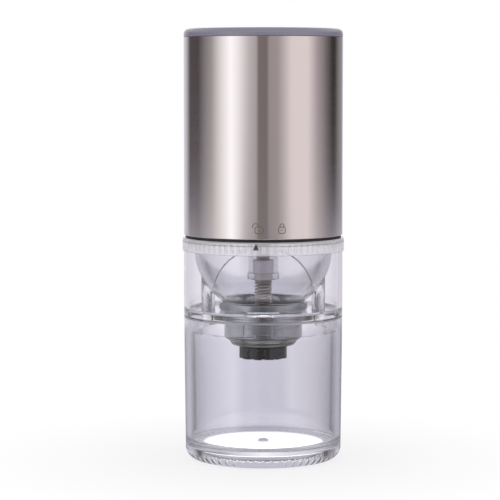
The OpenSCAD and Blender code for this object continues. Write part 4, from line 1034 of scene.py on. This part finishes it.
def round_box(width, height, corner):
    """A closed box with round corners, centred on 0, in mm."""
    a, b = width / 2 - corner, height / 2 - corner
    corners = ((a, b, 0), (-a, b, 90), (-a, -b, 180), (a, -b, 270))
    loop = [p for cx, cy, turn in corners for p in arc((cx, cy), corner, turn, turn + 90, 4)]
    return loop + loop[:1]


SLEEVE_R, MARK_Z = 35.0, 103.4
OPEN_AT, CLOSED_AT = -3.3, 12.8  # degrees round the sleeve from its front
STROKE, LIFT = 0.34, 0.012  # the line's width, and how proud of the sleeve it lies
open_shackle = [(-0.3, 1.45), *arc((-1.55, 1.6), 1.25, 0, 180), (-2.8, 1.1)]
open_lock = [round_box(3.4, 2.9, 0.7), open_shackle]
closed_shackle = [(0.85, 1.35), *arc((0, 1.9), 0.85, 0, 180), (-0.85, 1.35)]
closed_lock = [round_box(2.9, 2.7, 0.7), closed_shackle]
keyhole = [(0, -0.35), (0, 0.25)]
drawn, edges = [], []
for lock, at in ((open_lock, OPEN_AT), (closed_lock, CLOSED_AT)):
    shift = math.radians(at) * SLEEVE_R
    for strokes in [*lock, keyhole]:
        closed = strokes[0] == strokes[-1]
        strokes = strokes[:-1] if closed else strokes
        first = len(drawn)
        drawn += [((u + shift) * MM, 0, (v + MARK_Z) * MM) for u, v in strokes]
        edges += [(k, k + 1) for k in range(first, len(drawn) - 1)]
        edges += [(len(drawn) - 1, first)] if closed else []
drawing = bpy.data.meshes.new("padlocks_flat")
drawing.from_pydata(drawn, edges, [])
lock_marks = grow(
    "lock_marks",
    wrap_tree,
    drawing,
    stroke=STROKE * MM,
    radius=SLEEVE_R * MM,
    lift=LIFT * MM,
    stuff=material,
)
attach(lock_marks, "motor_unit")

# %% [markdown]
# ### The arrow on the collar
# An arrow on the collar points at the mark that tells the lock's state. It is an inlay of dark
# plastic: its outline is drawn flat, bent round the collar and given a depth into it.

# %% The arrow on the collar
ARROW_AT, ARROW_W, ARROW_H, ARROW_CORNER = -5.4, 2.4, 2.7, 0.2
COLLAR_R, ARROW_Z, ARROW_PROUD, ARROW_DEEP = 35.6, 94.9, 0.03, 0.4
material, tree, shader, point = finish("moulded_dark_grey_abs", "#4b4848", 0.4)
speckle = grain(tree, point, 0.2)
vary_colour(tree, shader, speckle, "#454242", "#524e4e")
vary_roughness(tree, shader, speckle, 0.34, 0.46)

lean = math.degrees(math.atan2(ARROW_W / 2, ARROW_H))
outline = (
    arc((-ARROW_W / 2 + ARROW_CORNER, ARROW_CORNER), ARROW_CORNER, 180 - lean, 270, 4)
    + arc((ARROW_W / 2 - ARROW_CORNER, ARROW_CORNER), ARROW_CORNER, 270, 360 + lean, 4)
    + arc((0, ARROW_H - ARROW_CORNER), ARROW_CORNER, lean, 180 - lean, 4)
)
ring_size = len(outline)
corners = []
for radius in (COLLAR_R + ARROW_PROUD, COLLAR_R - ARROW_DEEP):
    for u, v in outline:
        turn = math.radians(ARROW_AT) + u / COLLAR_R
        x, y = radius * math.sin(turn), -radius * math.cos(turn)
        corners.append((x * MM, y * MM, (ARROW_Z + v) * MM))
faces = [list(range(ring_size)), list(range(2 * ring_size - 1, ring_size - 1, -1))]
for k in range(ring_size):
    n = (k + 1) % ring_size
    faces.append([n, k, ring_size + k, ring_size + n])
arrow_mesh = bpy.data.meshes.new("collar_arrow")
arrow_mesh.from_pydata(corners, [], faces)
arrow_mesh.materials.append(material)
collar_arrow = put("collar_arrow", arrow_mesh)
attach(collar_arrow, "hopper")
print("arrow corners:", ring_size)
